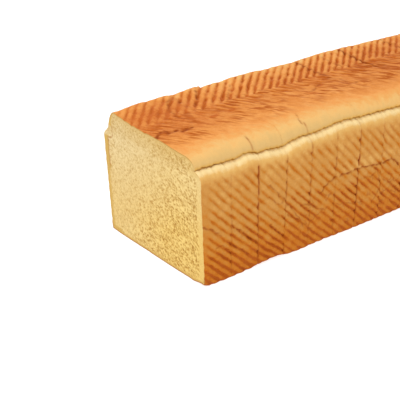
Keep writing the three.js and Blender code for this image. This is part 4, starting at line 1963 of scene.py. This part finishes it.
class EndCrust(BreadSlice):
    """The crusted end, rounded over to a lightly bulging end wall."""

    PLAIN_ENDS = (BoxSide.FRONT,)
    CRUMB_ENDS = (BoxSide.FRONT,)
    SLOT = "end_crust"

    @property
    def node(self) -> str:
        """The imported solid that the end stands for."""
        return "end_crust"

    def back_station(self, height: np.ndarray) -> np.ndarray:
        """Station at which the walls start to round over."""
        return np.zeros_like(height) + self.form.length - self.form.end_corner_radius - self.form.end_bulge

    def rows(self) -> tuple[np.ndarray, np.ndarray]:
        """Rows along the walls and round the loaf's last edge.

        Returns:
            Their shares of the way along the walls, and how far the loaf has turned over there.
        """
        thickness = float(self.back_station(50.0) - self.front_station(50.0))
        straight = np.linspace(3.1, thickness, round((thickness - 3.1) / self.spacing) + 1)
        count = round(self.form.end_corner_radius * math.pi / 2 / self.spacing)
        shares = np.concatenate([[0.0], self.EDGE_ROWS, straight, np.full(count, thickness)]) / thickness
        turns = np.zeros(len(shares))
        turns[-count:] = np.arange(1, count + 1) / count * math.pi / 2
        return shares, turns

    def round_over(self, ring: np.ndarray, stations: np.ndarray) -> tuple[np.ndarray, np.ndarray]:
        """Draws the section in as the loaf turns over to its end wall.

        Args:
            ring: Section points.
            stations: Their stations.

        Returns:
            Section points and stations on the rounding.
        """
        form = self.form
        inset = (1 - np.cos(self.turns))[:, None]
        x, z = ring[..., 0], ring[..., 1]
        narrow = 1 - form.end_corner_radius / form.lid_half_width * inset
        sunk = form.end_corner_radius * inset * smooth_step(z, form.seam_height, form.height - 2.6)
        lifted = form.base_radius * inset * (1 - smooth_step(z, 0, 9))
        turned = np.stack([x * narrow, z - sunk + lifted], -1)
        return turned, stations + form.end_corner_radius * np.sin(self.turns)[:, None]

    def fill_end(self, lattice: Lattice, skin: Skin, points: np.ndarray, values: dict[str, np.ndarray]) -> None:
        """Lays out the end wall, over which the ribs and the seam run on.

        Args:
            lattice: The points' steps.
            skin: The crust.
            points: All points, changed in place.
            values: Their values by name, changed in place.
        """
        form, steps = self.form, self.steps
        face = lattice.ring < 0
        i, k = lattice.i[face], lattice.k[face]
        inside = self.coons(skin.points[-1], i, k)
        x, z = inside[:, 0], inside[:, 2]
        across, upward = np.abs(2 * i / steps.across - 1), np.abs(2 * k / steps.upward - 1)
        y = form.length - form.end_bulge * (1 - (1 - across**2) * (1 - upward**2))
        along = (k + steps.across / 2 - steps.notch_start) / steps.notch
        lid = smooth_step(along, 0.4, 0.6)
        notch = 1 - np.abs(np.clip(2 * along - 1, -1, 1)) ** 0.8
        ribbed = smooth_step(1 - np.maximum(across, upward), 0, 0.3)
        side = np.ones(len(x))
        run = form.length + 55 - x
        patch = CrustPatch(x, y, z, run, side, 1 - lid, lid, notch, form.seam_height - z, ribbed, self.number)
        crust = self.relief.field(patch)
        inside[:, 1] = y + crust.height - form.seam_depth * notch
        points[face] = inside
        shown = {"tone": crust.tone, "side": 1 - lid, "groove": crust.groove, "crack_and_shade": crust.crack_and_shade}
        for name, numbers in {**shown, "seam": notch**0.5}.items():
            values[name][face] = np.clip(numbers, 0, 1)


# ---- Loaf, stage and camera ----------------------------------------------------------------------


@dataclass
class TinLoaf:
    """The whole loaf: its slices with the open cut face in front and the crusted end behind.

    Attributes:
        form: The loaf's dimensions.
        relief: The crust's relief.
        face_spacing: Size of a step of the foremost slice.
        spacing: Size of a step of the others.
    """

    form: LoafForm = field(default_factory=LoafForm)
    relief: CrustRelief = field(default_factory=CrustRelief)
    face_spacing: float = 0.55
    spacing: float = 0.75

    def build(self) -> list[bpy.types.Object]:
        """Makes all pieces.

        Returns:
            The objects.
        """
        grain = baked_grain_group()
        crust = CrustFinish("toasted_crust", 160.0, 750.0, 0.0005).build(grain)
        crumb = CrumbFinish("soft_crumb", 240.0, 900.0, 0.0006).build(grain)
        last = len(self.form.cuts) - 1
        slices = [OpenSlice(self.form, self.relief, 0, self.face_spacing)]
        slices += [BreadSlice(self.form, self.relief, number, self.spacing) for number in range(1, last)]
        slices.append(EndCrust(self.form, self.relief, last, self.spacing))
        pieces = []
        for bread in slices:
            pieces.append(bread.build([crust, crumb]))
            log.info("%s: %d faces", bread.name, len(pieces[-1].data.polygons))
        return pieces


@dataclass(frozen=True)
class Studio:
    """Pale floor, soft light and the camera.

    Attributes:
        yaw: Turn of the camera to the left of the loaf's length, in degrees.
        pitch: How far it looks down, in degrees.
        place: Where it stands, from the foot of the open face.
        lens: Its focal length.
        sky: Strength of the light from all round.
        key_power: Power of the lamp in watts.
        key_size: Its edge in metres.
        key_place: Where it hangs, in metres.
        floor_half: Half the floor's edge in metres.
        floor_tone: Grey of the floor.
        floor_glow: How much the floor lights of itself.
    """

    yaw: float = 52.01
    pitch: float = 26.17
    place: tuple[float, float, float] = (619.16, -440.02, 423.05)
    lens: float = 97.53
    sky: float = 0.92
    key_power: float = 11.0
    key_size: float = 1.6
    key_place: tuple[float, float, float] = (0.15, -0.8, 1.4)
    floor_half: float = 6.0
    floor_tone: float = 0.4
    floor_glow: float = 0.8

    def build(self, form: LoafForm) -> None:
        """Makes floor, lights and camera.

        Args:
            form: The loaf's dimensions.
        """
        scene = bpy.context.scene
        scene.view_settings.view_transform = "Standard"
        world = bpy.data.worlds.new("studio_sky")
        world.use_nodes = True
        background = world.node_tree.nodes["Background"]
        background.inputs["Color"].default_value = (1.0, 1.0, 1.0, 1.0)
        background.inputs["Strength"].default_value = self.sky
        scene.world = world
        self.floor()
        self.lamp("key", self.key_place, self.key_size, self.key_power)
        camera = bpy.data.objects.new("camera", bpy.data.cameras.new("camera"))
        camera.data.lens = self.lens
        camera.location = Vector(self.place) * MM + Vector((0, CAD_BOX[1].y - form.length * MM, 0))
        yaw, pitch = math.radians(self.yaw), math.radians(self.pitch)
        forward = Vector((-math.sin(yaw) * math.cos(pitch), math.cos(yaw) * math.cos(pitch), -math.sin(pitch)))
        camera.rotation_euler = forward.to_track_quat("-Z", "Y").to_euler()
        scene.collection.objects.link(camera)
        scene.camera = camera

    def floor(self) -> None:
        """A wide pale floor."""
        bm = bmesh.new()
        bmesh.ops.create_grid(bm, x_segments=1, y_segments=1, size=self.floor_half)
        mesh = bpy.data.meshes.new("floor")
        bm.to_mesh(mesh)
        bm.free()
        floor = bpy.data.objects.new("floor", mesh)
        material = bpy.data.materials.new("pale_floor")
        material.use_nodes = True
        shader = material.node_tree.nodes["Principled BSDF"]
        shader.inputs["Base Color"].default_value = (self.floor_tone,) * 3 + (1.0,)
        shader.inputs["Roughness"].default_value = 0.9
        shader.inputs["Emission Color"].default_value = (1.0, 1.0, 1.0, 1.0)
        shader.inputs["Emission Strength"].default_value = self.floor_glow
        mesh.materials.append(material)
        bpy.context.scene.collection.objects.link(floor)

    def lamp(self, name: str, place: tuple[float, float, float], size: float, power: float) -> None:
        """A square soft lamp that faces the loaf.

        Args:
            name: Its name.
            place: Where it hangs, in metres.
            size: Its edge.
            power: Its power in watts.
        """
        light = bpy.data.lights.new(name, "AREA")
        light.size = size
        light.energy = power
        lamp = bpy.data.objects.new(name, light)
        lamp.location = place
        lamp.rotation_euler = (-Vector(place)).to_track_quat("-Z", "Y").to_euler()
        bpy.context.scene.collection.objects.link(lamp)


def main() -> None:
    """Builds the loaf and its studio."""
    logging.basicConfig(level=logging.INFO, format="%(message)s")
    loaf = TinLoaf()
    loaf.build()
    Studio().build(loaf.form)


if __name__ == "__main__":
    main()
